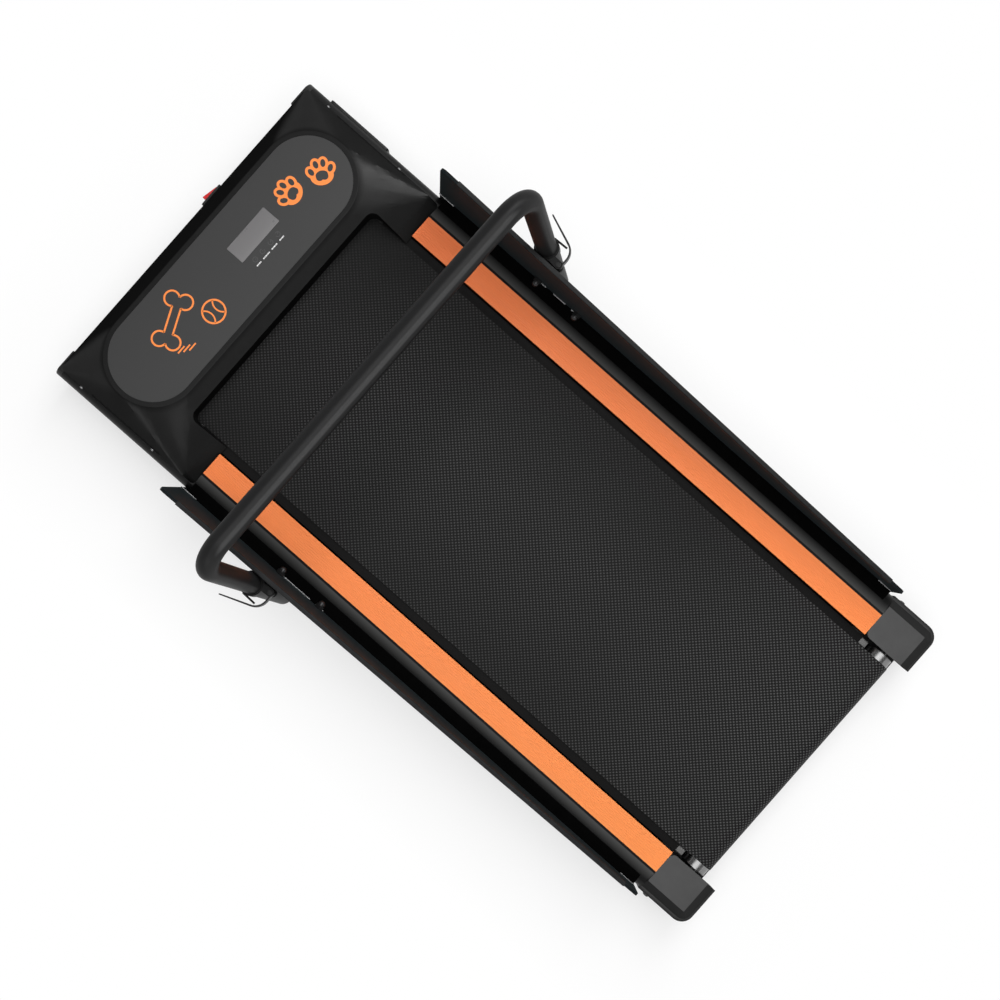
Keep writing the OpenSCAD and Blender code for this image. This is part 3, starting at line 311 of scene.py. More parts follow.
def wovenBelt(name):
    f = Finish(name, Specular_IOR_Level=0.15)
    x, y, z = f.axis()
    rearY, rearZ = weave["rear"]
    angle = f.math("ARCTAN2", z - rearZ, rearY - y)
    behind = f.math("LESS_THAN", y, rearY)
    around = rearY - (pi / 2 - angle) * weave["radius"]
    along = y + behind * (around - y)  # the belt's own length, followed round the rear roller
    first, second = [2 * pi / pitch / 2 ** 0.5 for pitch in weave["pitch"]]
    waves = f.math("COSINE", (x - along) * first) + f.math("COSINE", (x + along) * second)
    knot = waves * 0.25 + 0.5  # two crossed waves, brought to run from 0 to 1
    crown = f.ramp(knot, *weave["crownFrom"])
    patches, fibre = f.noise(*weave["patches"]), f.noise(*weave["fibre"])
    sides = f.band(x, *beltPaintedLight["right"]) + f.band(x, *beltPaintedLight["left"])
    light = (1 - sides) * beltPaintedLight["middle"] - f.band(y, *beltPaintedLight["front"])
    light = light + f.ramp(y, *beltPaintedLight["rear"]) * (beltPaintedLight["rearMost"] - light)
    # painted highlights on the knot tops, scaled by the painted light and shade
    amount = crown * f.uneven(patches, *weave["patchy"]) * light
    f.give("Base Color", f.blendColour(amount, weave["valley"], weave["crown"]))
    f.roughen(weave["rough"] - crown * weave["smoother"], [(fibre, weave["spread"])])
    f.relief(f.weighted(knot, fibre, weave["raised"]), weave["depth"], weave["strength"])
    return f.material


# faces with one fine grain: the panel's film and its prints, and the deck board
film = {"grain": (2400, 1.0, 0.5), "drift": (6, 2.0), "shades": (0.93, 1.07), "rough": 0.46, "spread": 0.12,
    "depth": 0.00002, "strength": 0.3, "gloss": 0.4}
board = {"grain": (700, 3.0, 0.6, (1, 0.15, 1)), "drift": (10, 3.0), "shades": (0.8, 1.25), "rough": 0.5,
    "spread": 0.2, "depth": 0.00004, "strength": 0.4, "gloss": 0.05}


def grainedFace(name, colour, form):
    f = Finish(name, Specular_IOR_Level=form["gloss"])
    grain, drift = f.noise(*form["grain"]), f.noise(*form["drift"])
    f.give("Base Color", f.mottled(drift, colour, *form["shades"]))
    f.roughen(form["rough"], [(grain, form["spread"])])
    f.relief(grain, form["depth"], form["strength"])
    return f.material


# glossy plastic with faint smears
lensFace = {"smear": (40, 3.0, 0.6), "shades": (0.95, 1.05), "rough": 0.3, "spread": 0.15}
rockerFace = {"smear": (60, 4.0, 0.6), "shades": (0.9, 1.08), "rough": 0.22, "spread": 0.14}


def glossPlastic(name, colour, form, **constants):
    f = Finish(name, **constants)
    smear = f.noise(*form["smear"])
    f.give("Base Color", f.mottled(smear, colour, *form["shades"]))
    f.roughen(form["rough"], [(smear, form["spread"])])
    return f.material


# smooth sheet of the guards, with light rub marks drawn along it; the inner face is painted a cooler tone
# than the outer one, to cancel the orange light that the strips throw on it
guard = {"inner": (0.0064, 0.0105, 0.0125), "outer": (0.009, 0.0092, 0.0094), "between": (0.2468, 0.2488),
    "sheen": (0.78, 0.97, 1.0, 1.0), "rub": (130, 4.0, 0.7, (1, 0.08, 1)), "drift": (5, 3.0), "rough": 0.55,
    "spread": (0.16, 0.08), "depth": 0.00002, "strength": 0.3, "driftShare": 0.3}


def guardSheet(name):
    f = Finish(name, Specular_IOR_Level=0.05, Sheen_Weight=0.022, Sheen_Roughness=0.55,
        Sheen_Tint=guard["sheen"])
    rub, drift = f.noise(*guard["rub"]), f.noise(*guard["drift"])
    # painted against the light: the inner face cooler than the outer, to cancel the strips' orange bounce
    outward = f.ramp(abs(f.axis()[0]), *guard["between"])
    face = f.blendColour(outward, guard["inner"], guard["outer"])
    f.give("Base Color", f.blendColour(drift * guard["driftShare"], face, guard["outer"]))
    f.roughen(guard["rough"], zip((rub, drift), guard["spread"]))
    f.relief(rub, guard["depth"], guard["strength"])
    return f.material


# circuit boards: a brick pattern stands for the traces
circuit = {"scale": 90.0, "gap": 0.03, "shades": (0.7, 1.8), "smear": 200, "rough": 0.35, "spread": 0.2}


def circuitBoard(name, colour):
    f = Finish(name)
    dark, light = [shade(colour, factor) for factor in circuit["shades"]]
    f.give("Base Color", f.add("TexBrick", {}, {"Vector": f.place, "Scale": circuit["scale"],
        "Mortar Size": circuit["gap"], "Color1": colour, "Color2": dark, "Mortar": light}))
    f.roughen(circuit["rough"], [(f.noise(circuit["smear"]), circuit["spread"])])
    return f.material


finishes = {
    "rail": railCoat("railCoat"),
    "orange": stripPlastic("stripOrange"),
    "cap": mouldedPlastic("capPlastic", (0.018, 0.018, 0.018), 0.45, glossUp=0.9, upFrom=0.87,
        shelf=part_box("left_end_cap")[1].z, Specular_IOR_Level=0.03, Coat_Roughness=0.4, Coat_IOR=1.6),
    "black": mouldedPlastic("blackPlastic", (0.007, 0.007, 0.007), 0.42, Specular_IOR_Level=0.3),
    "steel": platedSteel("zincSteel", (0.4, 0.405, 0.41), 0.28),
    "rubber": blackRubber("blackRubber", (0.006, 0.006, 0.006), 0.62, 0.4),
    "deck": grainedFace("deckFace", (0.006, 0.006, 0.006), board),
    "belt": wovenBelt("wovenBelt"),
    "light_plastic": mouldedPlastic("guideGrey", (0.1, 0.1, 0.098), 0.45),
    "roller": platedSteel("turnedRoller", (0.24, 0.24, 0.24), 0.3, "rings"),
    "bracket": powderCoat("bracketGrey", (0.01, 0.01, 0.01), 0.5, Specular_IOR_Level=0.2),
    "motor": powderCoat("motorShell", (0.04, 0.042, 0.046), 0.35),
    "board": circuitBoard("circuitBoard", (0.012, 0.08, 0.03)),
    "hood": mouldedPlastic("hoodPlastic", (0.0072, 0.0072, 0.0072), 0.45, glossUp=0.52, glossSides=0.03,
        lip=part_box("motor_hood")[1].z, Specular_IOR_Level=0.0, Coat_Roughness=0.34),
    "panel_grey": grainedFace("panelFilm", (0.0203, 0.0203, 0.0203), film),
    "window": glossPlastic("displayLens", (0.12, 0.116, 0.118), lensFace, Coat_Weight=0.6,
        Coat_Roughness=0.08),
    "red": glossPlastic("rockerRed", (0.6, 0.018, 0.02), rockerFace, Coat_Weight=0.3, Coat_Roughness=0.1),
    "guard": guardSheet("guardSheet"),
    "tube": powderCoat("tubeCoat", (0.0155, 0.0155, 0.0158), 0.44, depth=0.00002, shine=tubeShine,
        Specular_IOR_Level=0.05, Coat_Roughness=0.42, Coat_IOR=2.0),
    "lever": powderCoat("leverCoat", (0.006, 0.006, 0.006), 0.36),
    # the seals between rails and guards: foam made near black with almost no shine, so that it also stands
    # for the shade in the gap
    "sealFoamAndShade": blackRubber("sealFoamAndShade", (0.001, 0.001, 0.001), 0.9, 0.02),
    "sleeveCoat": powderCoat("sleeveCoat", (0.006, 0.006, 0.006), 0.5, 0.00003, Specular_IOR_Level=0.2),
    "dullSteel": platedSteel("dullSteel", (0.26, 0.26, 0.265), 0.36),
    "nutSteel": platedSteel("nutSteel", (0.05, 0.05, 0.051), 0.34),
    "axleSteel": platedSteel("axleSteel", (0.07, 0.07, 0.072), 0.42),
    "trimRubber": blackRubber("trimRubber", (0.011, 0.0115, 0.0118), 0.6, 0.16),
    "printOrange": grainedFace("printOrange", (0.93, 0.25, 0.042), film),
    "printWhite": grainedFace("printWhite", (0.72, 0.72, 0.72), film),
    "printGrey": grainedFace("printGrey", (0.045, 0.045, 0.045), film),
}
ownFinishNodes = {  # nodes with another finish than their slot's
    "sealFoamAndShade": ["panel_seals"],
    "trimRubber": ["left_edge_trim", "right_edge_trim"],
    "sleeveCoat": ["left_post", "right_post", "left_clamp", "right_clamp"],
    "dullSteel": ["edge_strips", "hood_screws"],
    "lever": ["end_cap_screws"],
    "axleSteel": ["rear_axle"],
    "nutSteel": ["cap_nuts"],
}
ownFinish = {node: finishes[key] for key, held in ownFinishNodes.items() for node in held}
slotOf = {part["node"]: part["material_slot"] for part in frame["record"]["subparts"]}
bodyOf = {node: body for body, held in frame["record"]["behaviour"]["bodies"].items() for node in held}
for node, target in nodes.items():
    target.data.materials.clear()
    target.data.materials.append(ownFinish.get(node, finishes[slotOf[node]]))
print("finishes:", len(finishes))


sharpFrom = 38  # degrees past which an edge of a piece stays sharp
mergeWithin = 2e-6  # metres within which the points of a CAD copy are one
nearWithin = 2e-5  # metres within which two places count as the same
slack = 1e-5  # metres allowed beside a limit
straight = 0.99  # the share of a normal along an axis from which a face looks that way


# a finished piece: smooth faces, its finish, the body it rides and the slot it is painted from
def makePiece(name, bm, body, slot, replaced=(), finish=None):
    for face in bm.faces:
        face.smooth = True
    for edge in bm.edges:
        edge.smooth = len(edge.link_faces) == 2 and edge.calc_face_angle(0) < radians(sharpFrom)
    mesh = bpy.data.meshes.new(name)
    bm.to_mesh(mesh)
    bm.free()
    mesh.materials.append(finish or finishes[slot])
    piece = bpy.data.objects.new(name, mesh)
    scene.collection.objects.link(piece)
    even = piece.modifiers.new("evenNormals", "WEIGHTED_NORMAL")
    even.keep_sharp = True
    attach(piece, body)
    if replaced:
        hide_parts(*replaced)


def mergedCopy(node, flat=0.3):
    bm = bmesh.new()
    bm.from_mesh(nodes[node].data)
    bmesh.ops.remove_doubles(bm, verts=bm.verts, dist=mergeWithin)
    bmesh.ops.dissolve_limit(bm, angle_limit=radians(flat), verts=bm.verts, edges=bm.edges)
    return bm


# the solids of a node that holds several, as the middle and the half size of each
def solidsOf(node):
    bm = mergedCopy(node)
    known, found = set(), []
    for seed in bm.verts:
        if seed in known:
            continue
        group, frontier = {seed}, [seed]
        while frontier:
            vert = frontier.pop()
            fresh = {e.other_vert(vert) for e in vert.link_edges} - group
            group |= fresh
            frontier.extend(fresh)
        known |= group
        low = Vector([min(v.co[k] for v in group) for k in range(3)])
        high = Vector([max(v.co[k] for v in group) for k in range(3)])
        found.append(((low + high) / 2, (high - low) / 2))
    bm.free()
    return found


def near(a, b):
    return abs(a - b) < nearWithin


def hardEdges(bm, limit):
    return [e for e in bm.edges if len(e.link_faces) == 2 and e.calc_face_angle(0) > radians(limit)]


def bevelled(bm, edges, offset, segments):
    bmesh.ops.bevel(bm, geom=edges, offset=offset, offset_type="OFFSET", segments=segments, profile=0.5,
        affect="EDGES", clamp_overlap=True, material=-1)


def addBox(bm, middle, size):
    bmesh.ops.create_cube(bm, size=1, matrix=Matrix.Translation(middle) @ Matrix.Diagonal((*size, 1)))


def addBlock(bm, first, last):  # a box between two opposite corners
    addBox(bm, (first + last) / 2, [abs(c) for c in last - first])


# edges rounded on copies of the CAD shapes: the radius of each, in metres
softEdges = {
    "left_side_rail": 0.0008, "right_side_rail": 0.0008, "left_front_cap": 0.0012,
    "right_front_cap": 0.0012, "front_fascia": 0.001, "left_side_panel": 0.0007,
    "right_side_panel": 0.0007, "left_edge_trim": 0.0004, "right_edge_trim": 0.0004,
    "control_panel": 0.0004, "display_window": 0.0003, "switch_housing": 0.0007,
    "switch_rocker": 0.0008, "power_inlet": 0.0005, "vent_grille": 0.0004, "left_post": 0.0006,
    "right_post": 0.0006, "left_clamp": 0.0004, "right_clamp": 0.0004, "left_lever": 0.0004,
    "right_lever": 0.0004, "lever_pins": 0.0003, "cap_nuts": 0.0004, "belt_guides": 0.0006,
    "roller_brackets": 0.0004, "rear_roller": 0.0008, "front_roller": 0.0008, "left_wheel": 0.001,
    "right_wheel": 0.001, "rubber_feet": 0.0012, "belly_pan": 0.0008, "panel_seals": 0.0008,
    "tension_bolts": 0.0004, "handle_bar": 0.0005, "left_foot_strip": 0.00012,
    "right_foot_strip": 0.00012,
}
softLimit = 24  # degrees past which an edge is rounded
# foot strips: how deep the floors of their grooves lie, and how far they are raised
groove = {"nodes": ("left_foot_strip", "right_foot_strip"), "depth": 0.0008, "raise": 0.0005}
# brackets of the rear axle: what lies within this distance of the middle is moved out into the caps
bracketSet = {"node": "roller_brackets", "within": 0.1899, "move": 0.0075}
# rear roller: its ends drawn out almost to the caps
rollerEnd = {"node": "rear_roller", "from": 0.1775, "to": 0.1814}


def softCopy(node, radius):
    bm = mergedCopy(node)
    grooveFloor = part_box(node)[1].z - groove["depth"]
    for vert in bm.verts:
        across = abs(vert.co.x)
        if node in groove["nodes"] and near(grooveFloor, vert.co.z):
            vert.co.z += groove["raise"]
        if node == bracketSet["node"] and across < bracketSet["within"]:
            vert.co.x *= 1 + bracketSet["move"] / across
        if node == rollerEnd["node"] and across > rollerEnd["from"]:
            vert.co.x *= rollerEnd["to"] / across
    bevelled(bm, hardEdges(bm, softLimit), radius, 2)
    makePiece("soft_" + node, bm, bodyOf[node], slotOf[node], [node], ownFinish.get(node))


for node, radius in softEdges.items():
    softCopy(node, radius)
print("softened:", len(softEdges))


# hood: the slopes from the oval to the skirt drawn into one soft sweep, then the rim round the oval rounded
hoodSweep = {"skirt": 0.0115, "tilt": (0.12, 0.99), "grid": 0.006, "splits": 6, "rounds": 55, "flat": 1,
    "rim": 0.0044, "rimSteps": 6, "rimFrom": 18}
hoodLow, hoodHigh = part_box("motor_hood")


def onSlope(face):
    steep, level = hoodSweep["tilt"]
    return steep < face.normal.z < level and face.calc_center_median().z > hoodLow.z + hoodSweep["skirt"]


bm = mergedCopy("motor_hood")
bmesh.ops.triangulate(bm, faces=bm.faces)
for k in range(hoodSweep["splits"]):  # the slope split to an even grid
    touching = [e for e in bm.edges if any(onSlope(f) for f in e.link_faces)]
    long = [e for e in touching if e.calc_length() > hoodSweep["grid"]]
    bmesh.ops.subdivide_edges(bm, edges=long, cuts=1)
    bmesh.ops.triangulate(bm, faces=[f for f in bm.faces if len(f.verts) > 3])
    slope = [f for f in bm.faces if onSlope(f)]
    inside = [e for e in bm.edges if len(e.link_faces) == 2 and all(onSlope(f) for f in e.link_faces)]
    flat = [e for e in inside if e.calc_face_angle(0) < radians(hoodSweep["flat"])]
    bmesh.ops.beautify_fill(bm, faces=slope, edges=flat)
free = [v for v in bm.verts if all(onSlope(f) for f in v.link_faces)]
for k in range(hoodSweep["rounds"]):  # and smoothed, with its border kept
    bmesh.ops.smooth_vert(bm, verts=free, factor=0.5, use_axis_x=True, use_axis_y=True, use_axis_z=True)
bm.normal_update()
rim = [e for e in hardEdges(bm, hoodSweep["rimFrom"]) if any(onSlope(f) for f in e.link_faces)
    and min(v.co.z for v in e.verts) > hoodHigh.z - slack]
bevelled(bm, rim, hoodSweep["rim"], hoodSweep["rimSteps"])
print("hood:", len(free), "free points,", len(rim), "rim edges,", len(bm.faces), "faces")
makePiece("soft_motor_hood", bm, "frame", "hood", ["motor_hood"])


# end caps: blocks with a ledge, a chamfered top, a round outer corner and a fine groove along the sides
capForm = {"corner": 0.0175, "cornerSteps": 10, "ledge": 0.0055, "chamfer": 0.0112, "fall": 0.0105,
    "rearLedge": 0.0038, "rearChamfer": 0.0128, "round": 0.0034, "roundSteps": 3, "roundFrom": 60,
    "margin": 0.03, "frontCorner": 0.008, "frontSteps": 5, "lip": 0.003, "lean": 0.014,
    "lines": (0.041, 0.0425), "lineInset": 0.00005, "lineDepth": 0.0006, "keyHole": 0.006, "keySides": 28,
    "keyDepth": 0.012, "crisp": 0.0005, "crispFrom": 30}


def edgesWhere(bm, test):
    return [e for e in bm.edges if all(test(v.co) for v in e.verts)]


def onlyKind(kind, geometry):
    return [item for item in geometry if isinstance(item, kind)]


def cutAt(bm, point, normal, clear=False):
    everything = [*bm.verts, *bm.edges, *bm.faces]
    cut = bmesh.ops.bisect_plane(bm, geom=everything, plane_co=point, plane_no=normal, clear_outer=clear)
    return onlyKind(bmesh.types.BMEdge, cut["geom_cut"])


def drawRear(face, shift):  # the rear edge moves by the shift, the front edge stays
    front, rear = max(v.co.y for v in face.verts), min(v.co.y for v in face.verts)
    for vert in face.verts:
        vert.co.y += shift * (front - vert.co.y) / (front - rear)


def insetTop(bm, top, width, rearWidth):
    bmesh.ops.inset_region(bm, faces=[top], thickness=width, depth=0, use_even_offset=True)
    drawRear(top, rearWidth - width)


def endCap(node, keyPlace):
    low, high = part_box(node)
    inner, outer = (low.x, high.x) if low.x > 0 else (high.x, low.x)
    out = 1 if outer > inner else -1
    shoulderZ = high.z - capForm["fall"]
    lipFoot = high.z - capForm["lip"]
    lineLow, lineHigh = capForm["lines"]
    first = Vector((inner - out * capForm["margin"], low.y, low.z))
    last = Vector((outer, high.y + capForm["margin"], shoulderZ))
    bm = bmesh.new()
    addBlock(bm, first, last)
    outerCorner = edgesWhere(bm, lambda p: near(p.x, outer) and near(p.y, low.y))
    bevelled(bm, outerCorner, capForm["corner"], capForm["cornerSteps"])
    top = max(bm.faces, key=lambda face: face.calc_center_median().z)
    insetTop(bm, top, capForm["ledge"], capForm["rearLedge"])
    upper = edgesWhere(bm, lambda p: near(p.z, shoulderZ))
    shoulder = [e for e in upper if e.calc_face_angle(0) > radians(capForm["roundFrom"])]
    insetTop(bm, top, capForm["chamfer"], capForm["rearChamfer"])
    bmesh.ops.translate(bm, vec=(0, 0, capForm["fall"]), verts=top.verts[:])
    bevelled(bm, shoulder, capForm["round"], capForm["roundSteps"])
    for point, normal in (((inner, 0, 0), (-out, 0, 0)), ((0, high.y, 0), (0, 1, 0))):
        bmesh.ops.edgeloop_fill(bm, edges=cutAt(bm, point, normal, clear=True))  # inner face and front
    frontCorner = edgesWhere(bm, lambda p: near(p.x, inner) and near(p.y, high.y))
    bevelled(bm, frontCorner, capForm["frontCorner"], capForm["frontSteps"])
    for z in (lipFoot, lineLow, lineHigh):  # lines for the lip and the groove
        cutAt(bm, (0, 0, z), (0, 0, 1))
    band = [f for f in bm.faces if lineLow < f.calc_center_median().z < lineHigh
        and not near(f.calc_center_median().x, inner) and not near(f.calc_center_median().y, high.y)]
    bmesh.ops.inset_region(bm, faces=band, thickness=capForm["lineInset"], depth=-capForm["lineDepth"])
    for vert in bm.verts:  # the inner wall leans away under the lip
        if out * (vert.co.x - inner) < capForm["frontCorner"] + slack and vert.co.z < lipFoot - slack:
            vert.co.x += out * capForm["lean"] * (lipFoot - vert.co.z) / (lipFoot - low.z)
    rearFaces = [f for f in bm.faces if f.normal.y < -straight]  # the key hole goes into the upper one
    rear = max(rearFaces, key=lambda f: f.calc_area() * (f.calc_center_median().z > lineHigh))
    border = rear.edges[:]
    bmesh.ops.delete(bm, geom=[rear], context="FACES_ONLY")
    turned = Matrix.Translation((keyPlace.x, low.y, keyPlace.z)) @ Matrix.Rotation(pi / 2, 4, "X")
    bmesh.ops.create_circle(bm, segments=capForm["keySides"], radius=capForm["keyHole"], matrix=turned)
    ring = [e for e in bm.edges if e.is_wire]
    bmesh.ops.triangle_fill(bm, use_beauty=True, edges=border + ring, normal=(0, -1, 0))
    deep = bmesh.ops.extrude_edge_only(bm, edges=ring)["geom"]
    bmesh.ops.translate(bm, vec=(0, capForm["keyDepth"], 0), verts=onlyKind(bmesh.types.BMVert, deep))
    bmesh.ops.edgeloop_fill(bm, edges=onlyKind(bmesh.types.BMEdge, deep))
    bmesh.ops.recalc_face_normals(bm, faces=bm.faces)
    bevelled(bm, hardEdges(bm, capForm["crispFrom"]), capForm["crisp"], 2)
    makePiece("soft_" + node, bm, "frame", "cap", [node])


tensionBolts = [middle for middle, half in solidsOf("tension_bolts")]
for node in ("left_end_cap", "right_end_cap"):
    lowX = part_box(node)[0].x
    endCap(node, next(m for m in tensionBolts if m.x * lowX > 0))
print("end caps shaped")

# shields between the belt and the rails, past the front end of the deck
shield = {"thick": 0.002, "drop": 0.0035, "overlap": 0.004, "reach": 0.03, "beltGap": 0.0006,
    "past": 0.0015, "soft": 0.0004}
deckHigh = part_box("deck_board")[1]
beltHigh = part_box("running_belt")[1]
shieldTop = deckHigh.z - shield["drop"]
bm = bmesh.new()
for side in (-1, 1):
    inner, outer = side * (beltHigh.x + shield["beltGap"]), side * (deckHigh.x + shield["past"])
    first = Vector((inner, deckHigh.y - shield["overlap"], shieldTop - shield["thick"]))
    last = Vector((outer, deckHigh.y + shield["reach"], shieldTop))
    addBlock(bm, first, last)
bevelled(bm, bm.edges[:], shield["soft"], 2)
makePiece("beltShields", bm, "frame", "black")

# trays under the ends of the rear roller: dark plates that also stand for the shade in the gap beside the
# roller
shadeTray = {"x": (0.172, 0.191), "y": (-0.524, -0.446), "z": (0.038, 0.0405), "soft": 0.0006}
bm = bmesh.new()
for side in (-1, 1):
    first, last = [Vector((side * x, y, z)) for x, y, z in zip(shadeTray["x"], shadeTray["y"], shadeTray["z"])]
    addBlock(bm, first, last)
bevelled(bm, bm.edges[:], shadeTray["soft"], 2)
makePiece("rollerShadeTrays", bm, "frame", "black")

# bright strips on the guards, the long ones cut into lengths: shares of each, counted from the front
glint = {"long": 0.03, "soft": 0.0002, "right": [(0.146, 0.274), (0.42, 0.67), (0.784, 0.943)],
    "left": [(0.096, 0.715), (0.826, 0.985)]}
bm = bmesh.new()
for middle, half in solidsOf("edge_strips"):
    lengths = [(0, 1)]
    if half.y > glint["long"]:
        lengths = glint["right"] if middle.x > 0 else glint["left"]
    for start, end in lengths:
        place = middle + Vector((0, half.y * (1 - start - end), 0))
        addBox(bm, place, (half.x * 2, half.y * 2 * (end - start), half.z * 2))
bevelled(bm, bm.edges[:], glint["soft"], 2)
makePiece("glint_strips", bm, "frame", slotOf["edge_strips"], ["edge_strips"], ownFinish["edge_strips"])
print("inner sheets and bright strips set")


# prints on the control panel, laid on it as thin film
filmThick = 0.00012
filmMerge = 1e-6  # metres within which the points of a print are one
panelLow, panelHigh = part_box("control_panel")
panelMid = (panelLow + panelHigh) / 2
panelMid.z = panelHigh.z


def disc(bm, middle, radii, turn, lift, points):
    made = bmesh.ops.create_circle(bm, cap_ends=True, segments=points, radius=1)["verts"]
    place = Matrix.Translation((*middle, lift)) @ Matrix.Rotation(radians(turn), 4, "Z")
    bmesh.ops.transform(bm, matrix=place @ Matrix.Diagonal((*radii, 1, 1)), verts=made)


def strokeArc(bm, middle, radius, start, sweep, width, steps=24):
    spoke = Vector((cos(radians(start)), sin(radians(start)), 0))
    ends = [bm.verts.new(Vector((*middle, 0)) + spoke * (radius + side * width / 2)) for side in (-1, 1)]
    edge = bm.edges.new(ends)
    bmesh.ops.spin(bm, geom=[*ends, edge], cent=(*middle, 0), axis=(0, 0, 1), angle=radians(sweep),
        steps=steps, use_merge=sweep == 360)


def strokeLine(bm, start, end, width):
    side = (Vector(end) - Vector(start)).orthogonal().normalized() * width / 2
    corners = [Vector(start) + side, Vector(start) - side, Vector(end) - side, Vector(end) + side]
    bm.faces.new([bm.verts.new((*corner, 0)) for corner in corners])


def placed(bm, verts, middle, turn):
    place = Matrix.Translation((*middle, 0)) @ Matrix.Rotation(radians(turn), 4, "Z")
    bmesh.ops.transform(bm, matrix=place, verts=verts)


def printPiece(name, bm, slot, finish=None, lift=0.0):
    bmesh.ops.remove_doubles(bm, verts=bm.verts, dist=filmMerge)
    bmesh.ops.recalc_face_normals(bm, faces=bm.faces)
    bmesh.ops.reverse_faces(bm, faces=[face for face in bm.faces if face.normal.z < 0])
    raised = bmesh.ops.extrude_face_region(bm, geom=bm.faces[:], use_keep_orig=True)["geom"]
    bmesh.ops.translate(bm, vec=(0, 0, filmThick), verts=onlyKind(bmesh.types.BMVert, raised))
    bmesh.ops.recalc_face_normals(bm, faces=bm.faces)
    bmesh.ops.translate(bm, vec=panelMid + Vector((0, 0, lift)), verts=bm.verts)
    makePiece(name, bm, "frame", slot, finish=finish)


# a paw: orange toes and palm run together, with grey pads laid on them
paw = {"size": 0.0185, "places": [((0.1184, 0.0091), 20), ((0.164, -0.0041), -35)], "step": 2e-5,
    "toes": [((-0.66, 0.06), 28), ((-0.25, 0.48), 10), ((0.25, 0.48), -10), ((0.66, 0.06), -28)],
    "toe": (0.36, 0.45), "palm": [((0, -0.3), (0.8, 0.66), 4, 48), ((0, 0.12), (0.68, 0.46), 5, 36)],
    "toePad": (0.17, 0.26), "toePoints": 36, "padLift": 0.00024,
    "palmPad": [((0, -0.28), (0.42, 0.3), 0, 36), ((-0.17, -0.4), (0.25, 0.24), 1, 36),
        ((0.17, -0.4), (0.25, 0.24), 2, 36)]}


def pawFilm(bm, toeRadii, toeStep, palm, middle, turn):
    start = len(bm.verts)
    size = paw["size"]
    toes = enumerate(paw["toes"])
    shapes = [(at, toeRadii, lean, k * toeStep, paw["toePoints"]) for k, (at, lean) in toes]
    shapes += [(at, radii, 0, steps, points) for at, radii, steps, points in palm]
    for (x, y), (wide, tall), lean, steps, points in shapes:
        disc(bm, (x * size, y * size), (wide * size, tall * size), lean, steps * paw["step"], points)
    bm.verts.ensure_lookup_table()
    placed(bm, bm.verts[start:], middle, turn)


orangeFilm, padFilm = bmesh.new(), bmesh.new()
for middle, turn in paw["places"]:
    pawFilm(orangeFilm, paw["toe"], 1, paw["palm"], middle, turn)
    pawFilm(padFilm, paw["toePad"], 0, paw["palmPad"], middle, turn)
printPiece("pawPrints", orangeFilm, "orange", finishes["printOrange"])
printPiece("pawPads", padFilm, "panel_grey", lift=paw["padLift"])

# a bone, a ball and three dashes in open strokes
motif = {"middle": (-0.083, -0.0005), "stroke": 0.0024, "thin": 0.00192}
bone = {"middle": (-0.012, 0.012), "half": 0.026, "knob": 0.0095, "apart": 0.00874, "turn": 24,
    "start": -66.9, "sweep": 266.2, "shaft": (0.0174, 0.0056)}
ball = {"middle": (0.03, -0.019), "radius": 0.0145, "steps": 48, "seam": 0.0135, "away": 0.0175,
    "seamStart": {-1: -52, 1: 128}, "seamSweep": 104, "seamSteps": 16}
dash = {"from": (-0.038, -0.02), "long": 0.012, "step": (0.006, -0.004), "count": 3}
bm = bmesh.new()
for end in (-1, 1):
    for side in (-1, 1):
        start, sweep = bone["start"] * side, bone["sweep"] * side
        if end == -1:
            start, sweep = 180 - start, -sweep
        middle = (end * bone["half"], side * bone["apart"])
        strokeArc(bm, middle, bone["knob"], start, sweep, motif["stroke"])
reach, rise = bone["shaft"]
for side in (-1, 1):
    strokeLine(bm, (-reach, side * rise), (reach, side * rise), motif["stroke"])
placed(bm, bm.verts, bone["middle"], bone["turn"])
strokeArc(bm, ball["middle"], ball["radius"], 0, 360, motif["stroke"], ball["steps"])
for side, start in ball["seamStart"].items():
    seamMid = (ball["middle"][0] + side * ball["away"], ball["middle"][1])
    strokeArc(bm, seamMid, ball["seam"], start, ball["seamSweep"], motif["thin"], ball["seamSteps"])
for k in range(dash["count"]):
    x, y = [at + k * step for at, step in zip(dash["from"], dash["step"])]
    strokeLine(bm, (x, y), (x + dash["long"], y), motif["thin"])
placed(bm, bm.verts, motif["middle"], 0)
printPiece("playMotif", bm, "orange", finishes["printOrange"])

# under the display, four rows of short ticks in line, with a faint ring sign above each
columns = (0.0288, 0.0423, 0.0571, 0.0706)
mark = {"row": -0.0226, "lengths": (0.0096, 0.0128, 0.0112, 0.0088), "width": 0.0017, "gap": 0.0005,
    "ticks": (0.0019, 0.0012, 0.0022, 0.0009, 0.0016, 0.0013, 0.0018)}
sign = {"row": -0.0155, "radius": 0.0031, "width": 0.0009, "turn": 60, "sweep": 300, "steps": 20,
    "hand": (0.0018, 0.0006)}
markFilm, signFilm = bmesh.new(), bmesh.new()
for k, (x, length) in enumerate(zip(columns, mark["lengths"])):
    at = x - length / 2
    for tick in mark["ticks"]:
        if at + tick <= x + length / 2:
            strokeLine(markFilm, (at, mark["row"]), (at + tick, mark["row"]), mark["width"])
        at += tick + mark["gap"]
    middle = (x, sign["row"])
    sweep = sign["sweep"] if k else 360
    strokeArc(signFilm, middle, sign["radius"], sign["turn"] * k, sweep, sign["width"], sign["steps"])
    strokeLine(signFilm, middle, (x + sign["hand"][0], sign["row"] + sign["hand"][1] * k), sign["width"])
printPiece("displayMarks", markFilm, "window", finishes["printWhite"])
printPiece("displaySigns", signFilm, "panel_grey", finishes["printGrey"])
print("prints laid")


